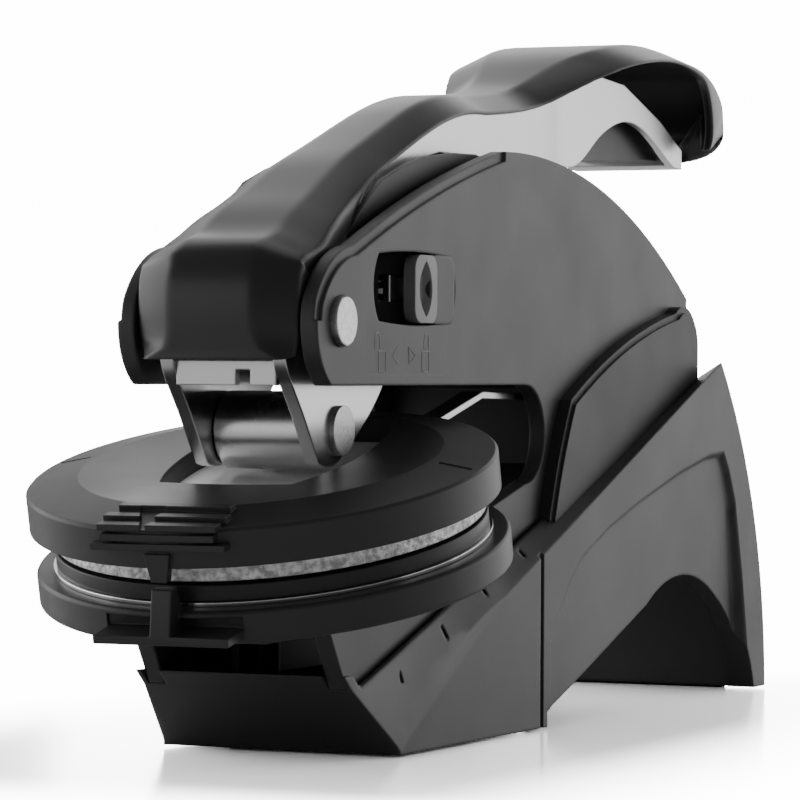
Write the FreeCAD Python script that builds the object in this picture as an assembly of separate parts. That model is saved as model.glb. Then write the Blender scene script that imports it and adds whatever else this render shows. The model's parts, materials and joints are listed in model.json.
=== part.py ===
"""A hand-pressed desk seal embosser: a lever presses a round die holder through a steel roller.

Lengths are in millimetres, angles in degrees. While the pieces are drawn, y runs rearwards from the
pivot's axis, z runs up from the table and x = 0 is the middle plane. At the end everything moves
along y, so that the finished part stands on its origin: the middle of its footprint.
"""
import FreeCAD, Part
import math
import os

V = FreeCAD.Vector

# Overall
overrun = 2.0
seat_gap = 0.02
slip_gap = 0.1

# Frame: two side plates with a nose, a throat and a lower jaw
plate_inner = 12.6
plate_thick = 2.6
nose_drop = 8.8
throat_depth = 74.1
crest_reach = 58.0
crest_height = 86.4
plate_rear = 136.5
plate_rear_height = 65.9
jaw_front = -4.2
jaw_toe_reach = 2.2
jaw_toe_height = 10.1
jaw_heel_reach = 58.0
plate_arch_height = 24.5
plate_edge_step = 0.5
plate_edge_width = 1.4

# Frame core between the plates
bridge_start = 30.0
bridge_thick = 3.4
core_setback = 4.6
core_height = 60.0
core_rear = 128.0
core_corner = 1.0
bed_thick = 3.0
bed_front = 14.0
boss_height = 6.0
spring_reach = 42.0
spring_outer = 4.6
spring_wire = 1.1
spring_turns = 9
spring_post_radius = 2.6
spring_post_height = 6.0

# Base
base_front = 13.3
base_rear = 160.8
base_half_front = 18.5
base_half_rear = 20.8
base_inner = 16.0
pad_proud = 0.4
pad_thick = 1.5
pad_margin = 4.0
front_face_top_reach = -0.1
front_face_top = 12.0
front_wall = 2.7
shoulder_start_reach = 2.5
shoulder_start = 9.9
shoulder_rear_reach = 139.0
shoulder_rear = 52.6
rim_knee_reach = 50.0
rim_knee = 20.8
rim_rear = 55.4
foot_end = 64.0
rear_wall = 2.6
arch_start = 65.6
arch_end = 156.0
arch_spring = 2.7
arch_top = 20.7
arch_crown_reach = 126.0
ledge_slot_width = 0.8
ledge_slot_pitch = 14.5
ledge_slot_reach = 16.2
ledge_slot_count = 4
ledge_slot_depth = 1.0
step_depth = 0.5
step_width = 1.2

# Side panels on the frame's rear half
panel_thick = 2.4
panel_front = 71.7
panel_bevel = 1.0
panel_rear = 136.5

# Working plane of the die holder
working_tilt = 13.5
holder_reach = 10.8
holder_height = 29.32
ring_radius = 33.3
ring_height = 4.7
runner_thick = 1.1
runner_half = 15.2
runner_length = 56.0
lip_half = 10.1
lip_gap = 1.5
lip_reach = 3.2
lip_low = 0.9
lip_thick = 1.25
lip_slot_height = 1.6
lip_slot_depth = 2.0
edge_soft = 0.4
trim_inset = 2.4
counter_inset = 2.9
boss_inset = 4.9
counter_boss_depth = 2.0
counter_top = 2.85
trim_thick = 0.6
paper_gap = 0.45
die_inset = 2.8
die_thick = 2.95
die_boss_inset = 4.6
die_boss_depth = 1.2
cap_inset = 0.3
cap_height = 5.3
cap_lead = 1.24
cap_crown = 1.3
cap_dish = 1.2
crown_width = 7.4
well_front = 13.0
well_rear = 22.5
well_depth = 2.325
well_half = 13.4
well_end_half = 10.0
well_plate_thick = 1.0
leaf_width = 3.5
leaf_reach = 51.0
leaf_fall = 5.0
leaf_clearance = 1.2
pointer_thick = 0.7
pointer_half = 1.9
pointer_rise = 3.4
pointer_lean = 1.2
pointer_depth = 1.6
mark_length = 5.0
mark_width = 0.7
mark_depth = 0.4
rib_half = 10.0
rib_width = 0.9
rib_rise = 0.55
rib_notch = 4.2
guide_radius = 1.5
guide_margin = 2.86
running_gap = 0.06

# Radii and heights over the lower ring's top that follow from the stack of the die holder
trim_radius = ring_radius - trim_inset
counter_radius = ring_radius - counter_inset
counter_boss_radius = ring_radius - boss_inset
cap_radius = ring_radius - cap_inset
die_radius = cap_radius - die_inset
die_boss_radius = cap_radius - die_boss_inset
plateau_radius = cap_radius - crown_width
cap_floor = counter_top + paper_gap + die_thick
cap_rim = cap_floor + cap_height
cap_top = cap_rim + cap_crown
plate_top = cap_rim - well_depth

# Lever
pin_radius = 3.45
pin_proud = 1.0
lever_reach = 160.5
lever_rise = 46.8
hood_half = 12.0
neck_half = 8.2
grip_half = 16.0
shell_thick = 3.0
shell_facet = 1.3
shell_facet_width = 3.0
cheek_thick = 1.6
cheek_drop = 5.5
skirt_thick = 1.2
skirt_inset = 0.35
core_half = 6.6
hub_radius = 7.0
bush_wall = 1.2
fork_inner = 7.6
fork_thick = 2.0
roller_reach = 11.7
roller_drop = 15.1
roller_radius = 5.5
roller_half = 7.5
roller_clearance = 0.7
axle_radius = 2.2
axle_head_radius = 3.5
axle_head_thick = 0.8
collar_radius = 3.3
fork_top = 9.0
fork_front = 6.0
fork_web_thick = 1.4
fork_web_front = 4.6
fork_web_slot = 2.15
fork_web_slot_place = 2.6

# The pivot's height, from the die holder's stack and the roller that stands on it
TILT = math.radians(working_tilt)
pivot_height = (holder_height + (roller_reach - holder_reach) * math.tan(TILT) + roller_drop
                + (plate_top + roller_radius + roller_clearance) / math.cos(TILT))

# Lock on the right-hand plate
knob_reach = 28.4
knob_rise = 4.9
knob_length = 8.6
knob_tall = 9.7
knob_proud = 0.4
knob_bow = 1.0
groove_radius = 6.0
groove_depth = 1.3
knob_travel = 10.5
recess_front = 10.8
recess_rear = 39.2
recess_half_height = 5.2
recess_depth = 1.5
stem_length = 4.0
stem_tall = 3.6
slider_thick = 1.1
slider_length = 13.0
slider_tall = 8.0
knob_height = pivot_height + knob_rise

# Fasteners
screw_radius = 1.5
screw_head_radius = 2.8
screw_head_thick = 1.6


def at(y, z):
    """A point of the middle plane."""
    return V(0, y, z)


def spread(shares, origin, length, height):
    """Points of the middle plane from a table of shares of a length and a height."""
    return [at(origin[0] + share[0] * length, origin[1] + share[1] * height) for share in shares]


def smooth(points):
    """One smooth edge through points."""
    curve = Part.BSplineCurve()
    curve.interpolate(points)
    return curve.toShape()


def outline(*steps):
    """A closed wire: a step of one point is a line, of two an arc, of more a smooth curve."""
    corner = steps[0][-1]
    here = corner
    edges = []
    for step in list(steps[1:]) + [[corner]]:
        if len(step) == 1:
            if (step[0] - here).Length > seat_gap / 10:
                edges.append(Part.LineSegment(here, step[0]).toShape())
        elif len(step) == 2:
            edges.append(Part.Arc(here, step[0], step[1]).toShape())
        else:
            edges.append(smooth([here] + list(step)))
        here = step[-1]
    return Part.Wire(edges)


def slab(wire, start, end):
    """The face of a wire at x = 0, stretched across from x = start to x = end."""
    face = Part.Face(wire)
    face.translate(V(start, 0, 0))
    return face.extrude(V(end - start, 0, 0))


def across(wire, half):
    """A slab as wide on both sides of the middle."""
    return slab(wire, -half, half)


def rod(radius, start, end, y, z):
    """A round bar across the part."""
    return Part.makeCylinder(radius, end - start, V(start, y, z), V(1, 0, 0))


def disc(radius, bottom, top, x=0.0, y=0.0):
    """An upright round plate in the die holder's own flat frame."""
    return Part.makeCylinder(radius, top - bottom, V(x, y, bottom), V(0, 0, 1))


def block(x0, x1, y0, y1, z0, z1):
    """A box between two values on each axis."""
    return Part.makeBox(x1 - x0, y1 - y0, z1 - z0, V(x0, y0, z0))


def mirrored(shape):
    """The same shape on the other side of the middle plane."""
    return shape.mirror(V(0, 0, 0), V(1, 0, 0))


def in_holder(shape):
    """Tilt a shape drawn flat about the lower ring's top into its place on the working plane."""
    placed = shape.copy()
    placed.rotate(V(0, 0, 0), V(1, 0, 0), working_tilt)
    placed.translate(at(holder_reach, holder_height))
    return placed


def on_holder(along, up):
    """A point of the middle plane from its place in the die holder's own flat frame."""
    y = holder_reach + along * math.cos(TILT) - up * math.sin(TILT)
    z = holder_height + along * math.sin(TILT) + up * math.cos(TILT)
    return at(y, z)


def jaw_top(y):
    """The height of the lower jaw's top edge, which carries the die holder's runner."""
    foot = on_holder(0, -ring_height - runner_thick)
    return foot.z + (y - foot.y) * math.tan(TILT)


# Side plate: nose, throat, jaw, arched back and the bow of the knob's recess
RECESS_BOW_SHARE = 0.1
THROAT_CORNER_SHARE = 0.578
NOSE_SHARES = ((-0.34, -1.0), (-0.84, -0.3), (-0.8, 0.33), (-0.28, 0.89), (0.55, 1.19))
BROW_BOW_SHARE = 0.047
BACK_BOW_SHARE = 0.27


def throat_corner():
    """Radius of the throat's corners, from the height of the throat's end."""
    return (pivot_height - nose_drop - jaw_top(throat_depth)) * THROAT_CORNER_SHARE


def plate_wire():
    """Side view of one frame plate."""
    toe, front, brow, nose_top, lip = spread(NOSE_SHARES, (0, pivot_height), nose_drop, nose_drop)
    roof = pivot_height - nose_drop
    corner = throat_corner()
    throat_mid = (roof + jaw_top(throat_depth - corner)) / 2
    jaw_back = at(throat_depth - corner, jaw_top(throat_depth - corner))
    bend = corner * (1 - math.sqrt(0.5))
    brow_run = crest_reach - lip.y
    brow_mid = at(lip.y + brow_run / 2, (lip.z + crest_height) / 2 + brow_run * BROW_BOW_SHARE / 2)
    back_fall = crest_height - plate_rear_height
    back_mid = at((crest_reach + plate_rear) / 2 + back_fall * BACK_BOW_SHARE / 2,
                  (crest_height + plate_rear_height) / 2 + back_fall * BACK_BOW_SHARE)
    return outline(
        [toe],
        [at(throat_depth - corner, roof)],
        [at(throat_depth - bend, roof - bend), at(throat_depth, throat_mid)],
        [at(throat_depth - bend, jaw_back.z + bend), jaw_back],
        [at(jaw_front, jaw_top(jaw_front))],
        [at(jaw_toe_reach, jaw_toe_height)],
        [at(jaw_heel_reach, jaw_toe_height)],
        [at(jaw_heel_reach + corner, plate_arch_height)],
        [at(plate_rear - corner, plate_arch_height)],
        [at(plate_rear, shoulder_rear)],
        [at(plate_rear, plate_rear_height)],
        [back_mid, at(crest_reach, crest_height)],
        [brow_mid, lip],
        [nose_top, brow],
        [front, toe],
    )


def recess_wire(inset):
    """Side view of the barrel-shaped recess round the lock knob."""
    front = recess_front + inset
    rear = recess_rear - inset
    half = recess_half_height - inset
    middle = (front + rear) / 2
    bow = half * RECESS_BOW_SHARE
    return outline(
        [at(front + half / 3, knob_height - half + bow)],
        [at(middle, knob_height - half), at(rear - half / 3, knob_height - half + bow)],
        [at(rear, knob_height), at(rear - half / 3, knob_height + half - bow)],
        [at(middle, knob_height + half), at(front + half / 3, knob_height + half - bow)],
        [at(front, knob_height), at(front + half / 3, knob_height - half + bow)],
    )


def knob_slot():
    """The slot through the right-hand plate in which the knob's stem slides."""
    run = slip_gap * 2
    front = knob_reach - stem_length / 2 - knob_travel - run
    rear = knob_reach + stem_length / 2 + run
    half = stem_tall / 2 + run / 2
    return block(plate_inner - overrun, plate_inner + plate_thick + overrun, front, rear,
                 knob_height - half, knob_height + half)


def frame_plate(side):
    """One side plate, side = 1 on the right and -1 on the left."""
    outer = plate_inner + plate_thick
    plate = slab(plate_wire(), plate_inner, outer)
    rim = plate_wire().makeOffset2D(-plate_edge_width)
    face = slab(rim, outer - plate_edge_step, outer + overrun)
    lip = slab(plate_wire(), outer - plate_edge_step, outer + overrun).cut(face)
    above = block(outer - plate_edge_step, outer + overrun, -nose_drop, crest_reach,
                  pivot_height, crest_height + overrun)
    plate = plate.cut(lip.common(above))
    plate = plate.cut(rod(pin_radius + seat_gap, plate_inner - overrun, outer + overrun, 0, pivot_height))
    bolt_end = outer + overrun if side < 0 else outer - plate_thick / 2
    for y, z in bolt_places():
        plate = plate.cut(rod(screw_radius, plate_inner - overrun, bolt_end, y, z))
    if side < 0:
        for y, z in bolt_places():
            plate = plate.cut(rod(screw_head_radius, outer - screw_head_thick, outer + overrun, y, z))
        return mirrored(plate)
    recess = slab(recess_wire(0), outer - recess_depth, outer + overrun)
    return plate.cut(recess).cut(knob_slot()).removeSplitter()


def bolt_places():
    """Side view places of the three bolts that tie the plates and the core."""
    bridge_z = pivot_height - nose_drop + bridge_thick / 2 + screw_radius
    low = plate_arch_height + screw_head_radius * 2
    return (
        (throat_depth + core_setback + screw_head_radius * 2, bridge_z),
        (throat_depth + core_setback + screw_head_radius * 2, low),
        (core_rear - screw_head_radius * 2, core_height - screw_head_radius * 3),
    )


def frame_core():
    """The cast block between the plates: throat wall, rear block and the bridge above the throat."""
    roof = pivot_height - nose_drop
    wall = throat_depth + core_setback
    low = plate_arch_height
    corner = throat_corner()
    wire = outline(
        [at(bridge_start, roof)],
        [at(wall - core_corner, roof)],
        [at(wall - core_corner / 4, roof - core_corner / 4), at(wall, roof - core_corner)],
        [at(wall, low)],
        [at(core_rear, low)],
        [at(core_rear, core_height - corner)],
        [at(core_rear - corner, core_height)],
        [at(wall + corner, core_height)],
        [at(wall, roof + bridge_thick)],
        [at(bridge_start, roof + bridge_thick)],
    )
    core = across(wire, plate_inner)
    for y, z in bolt_places():
        core = core.cut(rod(screw_radius + seat_gap, -plate_inner - overrun, plate_inner + overrun, y, z))
    return core.removeSplitter()


RIB_PLACE_SHARE = 0.6


def jaw_bed():
    """The cross plate between the jaws that the die holder's runner rests on."""
    top_front = at(bed_front, jaw_top(bed_front))
    wall = throat_depth + core_setback
    back = throat_depth - throat_corner()
    wire = outline(
        [top_front],
        [at(back, jaw_top(back))],
        [at(wall, jaw_top(wall))],
        [at(wall, jaw_top(wall) - bed_thick)],
        [at(bed_front, jaw_top(bed_front) - bed_thick)],
    )
    bed = across(wire, plate_inner)
    ribs = []
    for side in (-1, 1):
        rib = outline(
            [at(bed_front, jaw_top(bed_front) - bed_thick)],
            [at(back, jaw_top(back) - bed_thick)],
            [at(back, plate_arch_height - bed_thick)],
            [at(jaw_heel_reach, jaw_toe_height)],
            [at(bed_front, jaw_toe_height)],
        )
        x = side * plate_inner * RIB_PLACE_SHARE
        ribs.append(slab(rib, x - bed_thick / 4, x + bed_thick / 4))
    for x, y in base_screw_places():
        ribs.append(Part.makeCylinder(screw_head_radius, boss_height, V(x, y, jaw_toe_height)))
    bed = bed.fuse(ribs)
    for x, y in base_screw_places():
        bed = bed.cut(Part.makeCylinder(screw_radius, boss_height / 2 + overrun,
                                        V(x, y, jaw_toe_height - overrun)))
    return bed.removeSplitter()


def side_x(y):
    """Half-width of the base's outer side at a distance rearwards."""
    share = (y - base_front) / (base_rear - base_front)
    return base_half_front + share * (base_half_rear - base_half_front)


def shoulder(y):
    """Height of the inner edge of the base's ledge."""
    slope = (shoulder_rear - shoulder_start) / (shoulder_rear_reach - shoulder_start_reach)
    return shoulder_start + (y - shoulder_start_reach) * slope


# Bow of the base's curved edges, as shares of the drop between their ends
NOSE_BOW_SHARE = 0.08
KNEE_BOW_SHARE = 0.1
REAR_BOW_SHARE = 0.09
REAR_FOOT_SHARE = 1.5
REAR_LEAN_SHARE = 1.2
ARCH_KNEE_SHARE = 0.79


def rear_mid(top_z, bottom_z):
    """The middle point of the base's bowed rear edge."""
    bow = (top_z - bottom_z) * REAR_BOW_SHARE
    return at((shoulder_rear_reach + base_rear) / 2 + bow, (top_z + bottom_z) / 2 + bow / 2)


def base_wire(inner):
    """Side view of the base's side wall at its inner face or, if not inner, at its outer face."""
    ground = at(base_front, pad_proud)
    start = at(shoulder_start_reach, shoulder_start)
    run = base_front - shoulder_start_reach
    nose_mid = at(base_front - run / 2 - run * NOSE_BOW_SHARE,
                  (ground.z + start.z) / 2 + run * NOSE_BOW_SHARE)
    rise = rim_knee - pad_proud
    if inner:
        steps = (
            [ground],
            [nose_mid, start],
            [at((start.y + rim_knee_reach) / 2, shoulder((start.y + rim_knee_reach) / 2)),
             at(rim_knee_reach, shoulder(rim_knee_reach) + seat_gap)],
            [at(shoulder_rear_reach, shoulder_rear)],
            [rear_mid(shoulder_rear, pad_proud), at(base_rear, pad_proud)],
        )
    else:
        toe = at(base_front + edge_soft, pad_proud + edge_soft)
        toe_mid = at((ground.y + toe.y) / 2, (ground.z + toe.z) / 2 + seat_gap)
        knee_mid = at((toe.y + rim_knee_reach) / 2 - rise * KNEE_BOW_SHARE,
                      (toe.z + rim_knee) / 2 + rise * KNEE_BOW_SHARE)
        steps = (
            [ground],
            [toe_mid, toe],
            [knee_mid, at(rim_knee_reach, rim_knee)],
            [at(shoulder_rear_reach, rim_rear)],
            [rear_mid(rim_rear, pad_proud), at(base_rear, pad_proud)],
        )
    return steps


def leaned(steps, x_of):
    """A wire of the same steps, with each point moved sideways to x_of(its y)."""
    return outline(*[[V(x_of(point.y), point.y, point.z) for point in step] for step in steps])


def side_wall():
    """The right-hand wall of the base, from its inner face out to its leaning outer face."""
    inner = leaned(base_wire(True), lambda y: base_inner)
    outer = leaned(base_wire(False), side_x)
    wall = Part.makeLoft([inner, outer], True, True)
    return wall


def arch_wire():
    """Side view of the arch between the base's front foot and its rear leg."""
    ramp = (arch_top - arch_spring) / (arch_crown_reach - arch_start)
    crown_start = arch_crown_reach - (arch_top - arch_spring)
    return outline(
        [at(arch_start, pad_proud - overrun)],
        [at(arch_start, arch_spring)],
        [at(crown_start, arch_spring + ramp * (crown_start - arch_start) + arch_spring / 2)],
        [at(arch_crown_reach, arch_top), at((arch_crown_reach + arch_end) / 2, arch_top * ARCH_KNEE_SHARE)],
        [at(arch_end - arch_spring, arch_spring * 2), at(arch_end, pad_proud - overrun)],
    )


def base_shell():
    """The moulded base: front block, side walls with their ledges, arch and rear leg."""
    wall = side_wall()
    front = outline(
        [at(base_front, pad_proud)],
        [at((base_front + shoulder_start_reach) / 2 - (base_front - shoulder_start_reach) * NOSE_BOW_SHARE,
            (pad_proud + shoulder_start) / 2 + (base_front - shoulder_start_reach) * NOSE_BOW_SHARE),
         at(shoulder_start_reach, shoulder_start)],
        [at(front_face_top_reach, front_face_top)],
        [at(front_face_top_reach + front_wall, front_face_top)],
        [at(shoulder_start_reach + front_wall, jaw_toe_height - seat_gap)],
        [at(foot_end, jaw_toe_height - seat_gap)],
        [at(foot_end, pad_proud)],
    )
    shell = wall.fuse([mirrored(wall), across(front, base_inner)])
    back = outline(
        [at(shoulder_rear_reach, shoulder_rear)],
        [rear_mid(shoulder_rear, pad_proud), at(base_rear, pad_proud)],
        [at(base_rear - rear_wall * REAR_FOOT_SHARE, pad_proud)],
        [rear_mid(shoulder_rear, pad_proud) - at(rear_wall * REAR_LEAN_SHARE, rear_wall / 2),
         at(shoulder_rear_reach - rear_wall, shoulder_rear - rear_wall)],
        [at(shoulder_rear_reach - rear_wall + seat_gap, shoulder_rear)],
    )
    shell = shell.fuse(across(back, base_inner))
    reach = base_half_rear + overrun
    shell = shell.cut(across(arch_wire(), reach).cut(across(back, base_inner)))
    outer = plate_inner + plate_thick + slip_gap
    inner = plate_inner - slip_gap
    for x0, x1 in ((inner, outer), (-outer, -inner)):
        shell = shell.cut(block(x0, x1, jaw_front, jaw_heel_reach, jaw_toe_height - seat_gap,
                                front_face_top + overrun))
    for index in range(ledge_slot_count):
        y = ledge_slot_reach + index * ledge_slot_pitch
        x = base_inner + (base_half_front - base_inner) / 2
        slot = block(x - ledge_slot_depth / 2, x + ledge_slot_depth / 2, y, y + ledge_slot_width,
                     shoulder(y) - ledge_slot_depth * 4, shoulder(y) + overrun)
        shell = shell.cut([slot, mirrored(slot)])
    crease = block(side_x(foot_end) - step_depth, side_x(foot_end) + overrun,
                   foot_end - step_width, foot_end, pad_proud - overrun, rim_knee + nose_drop)
    shell = shell.cut([crease, mirrored(crease)])
    for x, y in base_screw_places():
        shell = shell.cut(Part.makeCylinder(screw_head_radius + seat_gap, screw_head_thick,
                                            V(x, y, pad_proud)))
        shell = shell.cut(Part.makeCylinder(screw_radius + seat_gap, jaw_toe_height,
                                            V(x, y, pad_proud)))
    shell = shell.cut(pad_block(0)).cut(rear_pad_block(0))
    return shell.removeSplitter()


def base_screw_places():
    """Plan view places of the screws that hold the frame's bed down in the front block."""
    x = plate_inner * RIB_PLACE_SHARE
    return ((x, bed_front + screw_head_radius * 3), (-x, bed_front + screw_head_radius * 3),
            (x, jaw_heel_reach - screw_head_radius * 2), (-x, jaw_heel_reach - screw_head_radius * 2))


def pad_block(gap):
    """The soft pad under the front block, gap narrower all round than its recess."""
    front = min(y for x, y in base_screw_places()) + pad_margin
    rear = max(y for x, y in base_screw_places()) - pad_margin
    half = base_half_front - pad_margin
    return block(-half + gap, half - gap, front + gap, rear - gap, 0, pad_thick)


def rear_pad_block(gap):
    """The soft strip under the rear wall."""
    half = base_inner - pad_margin / 2
    back = base_rear - rear_wall / 4
    return block(-half + gap, half - gap, back - rear_wall + gap, back - gap, 0, pad_thick)


# Side panel: its front edge down from the top, and its rear corner, as shares of its rise
PANEL_FRONT_SHARES = ((0.9, 0.77), (0.25, 0.52), (0.1, 0.25))
PANEL_REAR_SHARES = ((0.0, 0.15), (-0.04, 0.27), (-0.3, 0.31))


def side_panel(shell):
    """The raised panel over the frame's rear half on the right, seated on the base's ledge."""
    outer = plate_inner + plate_thick
    heel = shoulder(panel_front)
    rise = plate_rear_height - heel
    high, bend, knee = spread(PANEL_FRONT_SHARES, (panel_front, heel), rise, rise)
    top, corner, back = spread(PANEL_REAR_SHARES, (panel_rear, shoulder_rear), rise, rise)
    wire = outline(
        [at(panel_front, heel - panel_thick)],
        [at(panel_rear, shoulder_rear - panel_thick)],
        [top],
        [corner, back],
        [high, bend],
        [knee, at(panel_front, heel)],
    )
    panel = slab(wire, outer, outer + panel_thick)
    step = outer + panel_thick - panel_bevel / 2
    raised = slab(wire.makeOffset2D(-panel_bevel), step, outer + panel_thick + overrun)
    skin = slab(wire, step, outer + panel_thick + overrun)
    return panel.cut(skin.cut(raised)).cut(shell).removeSplitter()


# Lever: its top line from the hood's front edge back to the grip's curled lip, about the pivot
LEVER_SHARES = (
    (-0.055, -0.118), (-0.061, 0.02), (-0.059, 0.14), (-0.052, 0.205), (-0.036, 0.238),
    (-0.011, 0.26), (0.024, 0.325), (0.073, 0.398), (0.122, 0.476), (0.19, 0.56),
    (0.262, 0.646), (0.342, 0.724), (0.42, 0.75), (0.5, 0.775), (0.56, 0.815),
    (0.615, 0.89), (0.67, 0.95), (0.74, 0.99), (0.82, 1.0), (0.89, 0.965),
    (0.945, 0.895), (0.985, 0.79), (0.998, 0.69), (0.975, 0.625), (0.935, 0.612),
)
# Stations of that line, counted from the front, where its parts start or end
BEND_COUNT = 3
NECK_COUNT = 12
FACET_COUNT = 22
CHEEK_COUNTS = (2, 7)
BLOCK_COUNTS = (7, 16)
WEB_COUNTS = (6, 17)
CORE_COUNTS = (4, 16)
PLAN_NOSE_SHARE = 0.07
PLAN_CORNER_SHARE = 0.25
PLAN_FLAT_SHARE = 0.58
PLAN_SHARES = (
    (0.0, 1.0), (0.08, 0.86), (0.19, 0.745), (0.34, 0.69), (0.5, 0.69), (0.57, 0.76),
    (0.64, 1.06), (0.73, 1.31), (0.8, 1.333), (0.88, 1.315), (0.935, 1.25), (0.966, 1.15),
    (0.99, 0.98),
)
# The grip's end seen from behind: half-width as a share of the grip's, height as a share of the rise
END_SHARES = ((1.1, 0.9), (0.93, 0.8), (0.84, 0.745), (0.745, 0.685), (0.63, 0.648), (0.5, 0.635))
END_START_SHARE = 0.9
END_LOW_SHARE = 0.5


def lever_line(depth, first, last):
    """Points of the lever's top line, moved inwards by depth, between two of its stations."""
    points = spread(LEVER_SHARES, (0, pivot_height), lever_reach, lever_rise)
    moved = []
    for index in range(first, last):
        before = points[max(index - 1, 0)]
        after = points[min(index + 1, len(points) - 1)]
        run = (after - before).normalize()
        moved.append(points[index] + at(run.z, -run.y) * depth)
    return moved


def stretches(points):
    """Smooth edges through points of the lever's whole line, parted at its bend and its neck."""
    marks = (0, BEND_COUNT, NECK_COUNT, len(points) - 1)
    return [smooth(points[start:end + 1]) for start, end in zip(marks, marks[1:])]


def plan_prism(inset):
    """An upright prism of the lever's outline seen from above."""
    half = [V(share[1] * hood_half - inset, share[0] * lever_reach, 0) for share in PLAN_SHARES]
    nose = -lever_reach * PLAN_NOSE_SHARE
    corner = V(hood_half - inset, nose + hood_half * PLAN_CORNER_SHARE, 0)
    flat = V(hood_half * PLAN_FLAT_SHARE, nose, 0)
    tail = V(0, lever_reach + overrun, 0)
    other = [V(-point.x, point.y, 0) for point in half]
    edges = [
        Part.LineSegment(V(-flat.x, flat.y, 0), flat).toShape(),
        Part.LineSegment(flat, corner).toShape(),
        Part.LineSegment(corner, half[0]).toShape(),
        smooth(half + [tail + V(0, -inset, 0)] + other[::-1]),
        Part.LineSegment(other[0], V(-corner.x, corner.y, 0)).toShape(),
        Part.LineSegment(V(-corner.x, corner.y, 0), V(-flat.x, flat.y, 0)).toShape(),
    ]
    prism = Part.Face(Part.Wire(edges))
    return prism.extrude(V(0, 0, pivot_height + lever_rise * 2))


def end_cutter():
    """The wedge that rounds the right-hand lower corner of the grip's end."""
    start = lever_reach * END_START_SHARE
    floor = pivot_height + lever_rise * END_LOW_SHARE
    curve = [V(share[0] * grip_half, start, pivot_height + share[1] * lever_rise) for share in END_SHARES]
    inner = V(curve[-1].x, start, floor)
    outer = V(curve[0].x, start, floor)
    wire = Part.Wire([
        smooth(curve),
        Part.LineSegment(curve[-1], inner).toShape(),
        Part.LineSegment(inner, outer).toShape(),
        Part.LineSegment(outer, curve[0]).toShape(),
    ])
    return Part.Face(wire).extrude(V(0, lever_reach - start + shell_thick, 0))


def half_at(y):
    """Half-width of the lever seen from above, at a distance behind the pivot."""
    share = max(y / lever_reach, 0)
    for (near, half), (far, next_half) in zip(PLAN_SHARES, PLAN_SHARES[1:]):
        if share <= far:
            return hood_half * (half + (next_half - half) * (share - near) / (far - near))
    return hood_half * PLAN_SHARES[-1][1]


def facet_cutter():
    """A long wedge that takes the right-hand top edge of the lever's cover down to its facet."""
    over = overrun / 2
    fall = shell_facet * (shell_facet_width + over) / shell_facet_width
    crown = lever_line(0, 0, FACET_COUNT)
    low = lever_line(fall, 0, FACET_COUNT)
    high = lever_line(-over, 0, FACET_COUNT)
    sections = []
    for middle, under, above in zip(crown, low, high):
        half = half_at(middle.y)
        points = [
            V(half - shell_facet_width, middle.y, middle.z),
            V(half + over, under.y, under.z),
            V(half + over, above.y, above.z),
        ]
        sections.append(Part.makePolygon(points + points[:1]))
    return Part.makeLoft(sections, True, True)


def lever_shell():
    """The moulded cover of the lever: hood, neck and curled grip in one."""
    count = len(LEVER_SHARES)
    top = lever_line(0, 0, count)
    under = lever_line(shell_thick, 0, count)
    wire = Part.Wire(
        stretches(top) + [Part.LineSegment(top[-1], under[-1]).toShape()]
        + stretches(under)[::-1] + [Part.LineSegment(under[0], top[0]).toShape()])
    band = across(wire, grip_half + overrun).common(plan_prism(0))
    floor = pivot_height - cheek_drop
    roof = lever_line(shell_thick / 2, *CHEEK_COUNTS)
    cheek_wire = outline(
        [at(top[0].y + shell_thick / 2, floor)],
        [at(hub_radius, floor)],
        [at(hub_radius + cheek_thick, pivot_height + hub_radius)],
        *[[point] for point in roof[::-1]],
    )
    cheek = slab(cheek_wire, hood_half - cheek_thick, hood_half).common(plan_prism(0))
    shell = band.fuse([cheek, mirrored(cheek)])
    for cutter in (facet_cutter(), end_cutter()):
        shell = shell.cut([cutter, mirrored(cutter)])
    shell = shell.cut(rod(pin_radius + running_gap, -hood_half - overrun, hood_half + overrun,
                          0, pivot_height))
    return shell.removeSplitter()


# Skirt below the shell: its lower edge from the front back, and the tail's upper edge
SKIRT_SHARES = (
    (0.086, 0.306), (0.143, 0.393), (0.231, 0.498), (0.311, 0.545), (0.606, 0.543),
)
WINDOW_SHARES = (
    (0.643, 0.571), (0.686, 0.65), (0.727, 0.703), (0.764, 0.726), (0.798, 0.72),
    (0.842, 0.677), (0.887, 0.611),
)
TAIL_SHARES = ((0.907, 0.588), (0.93, 0.585), (0.93, 0.655), (0.865, 0.748), (0.76, 0.855), (0.69, 0.87))
CORE_SHARES = (
    (0.041, 0.07), (0.075, 0.25), (0.137, 0.35), (0.22, 0.45), (0.3, 0.5), (0.6, 0.52),
    (0.68, 0.575), (0.91, 0.615), (0.91, 0.655),
)


def lever_block(bottom, tail, half, inset):
    """A block of the lever under its shell, from bottom points, tail points and the shell's middle."""
    roof = lever_line(shell_thick / 2, *BLOCK_COUNTS)
    points = list(bottom) + list(tail) + roof[::-1]
    wire = outline(*[[point] for point in points])
    return across(wire, half).common(plan_prism(inset))


def lever_points(shares):
    """Points of the lever from shares of its reach and rise, about the pivot."""
    return spread(shares, (0, pivot_height), lever_reach, lever_rise)


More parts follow.
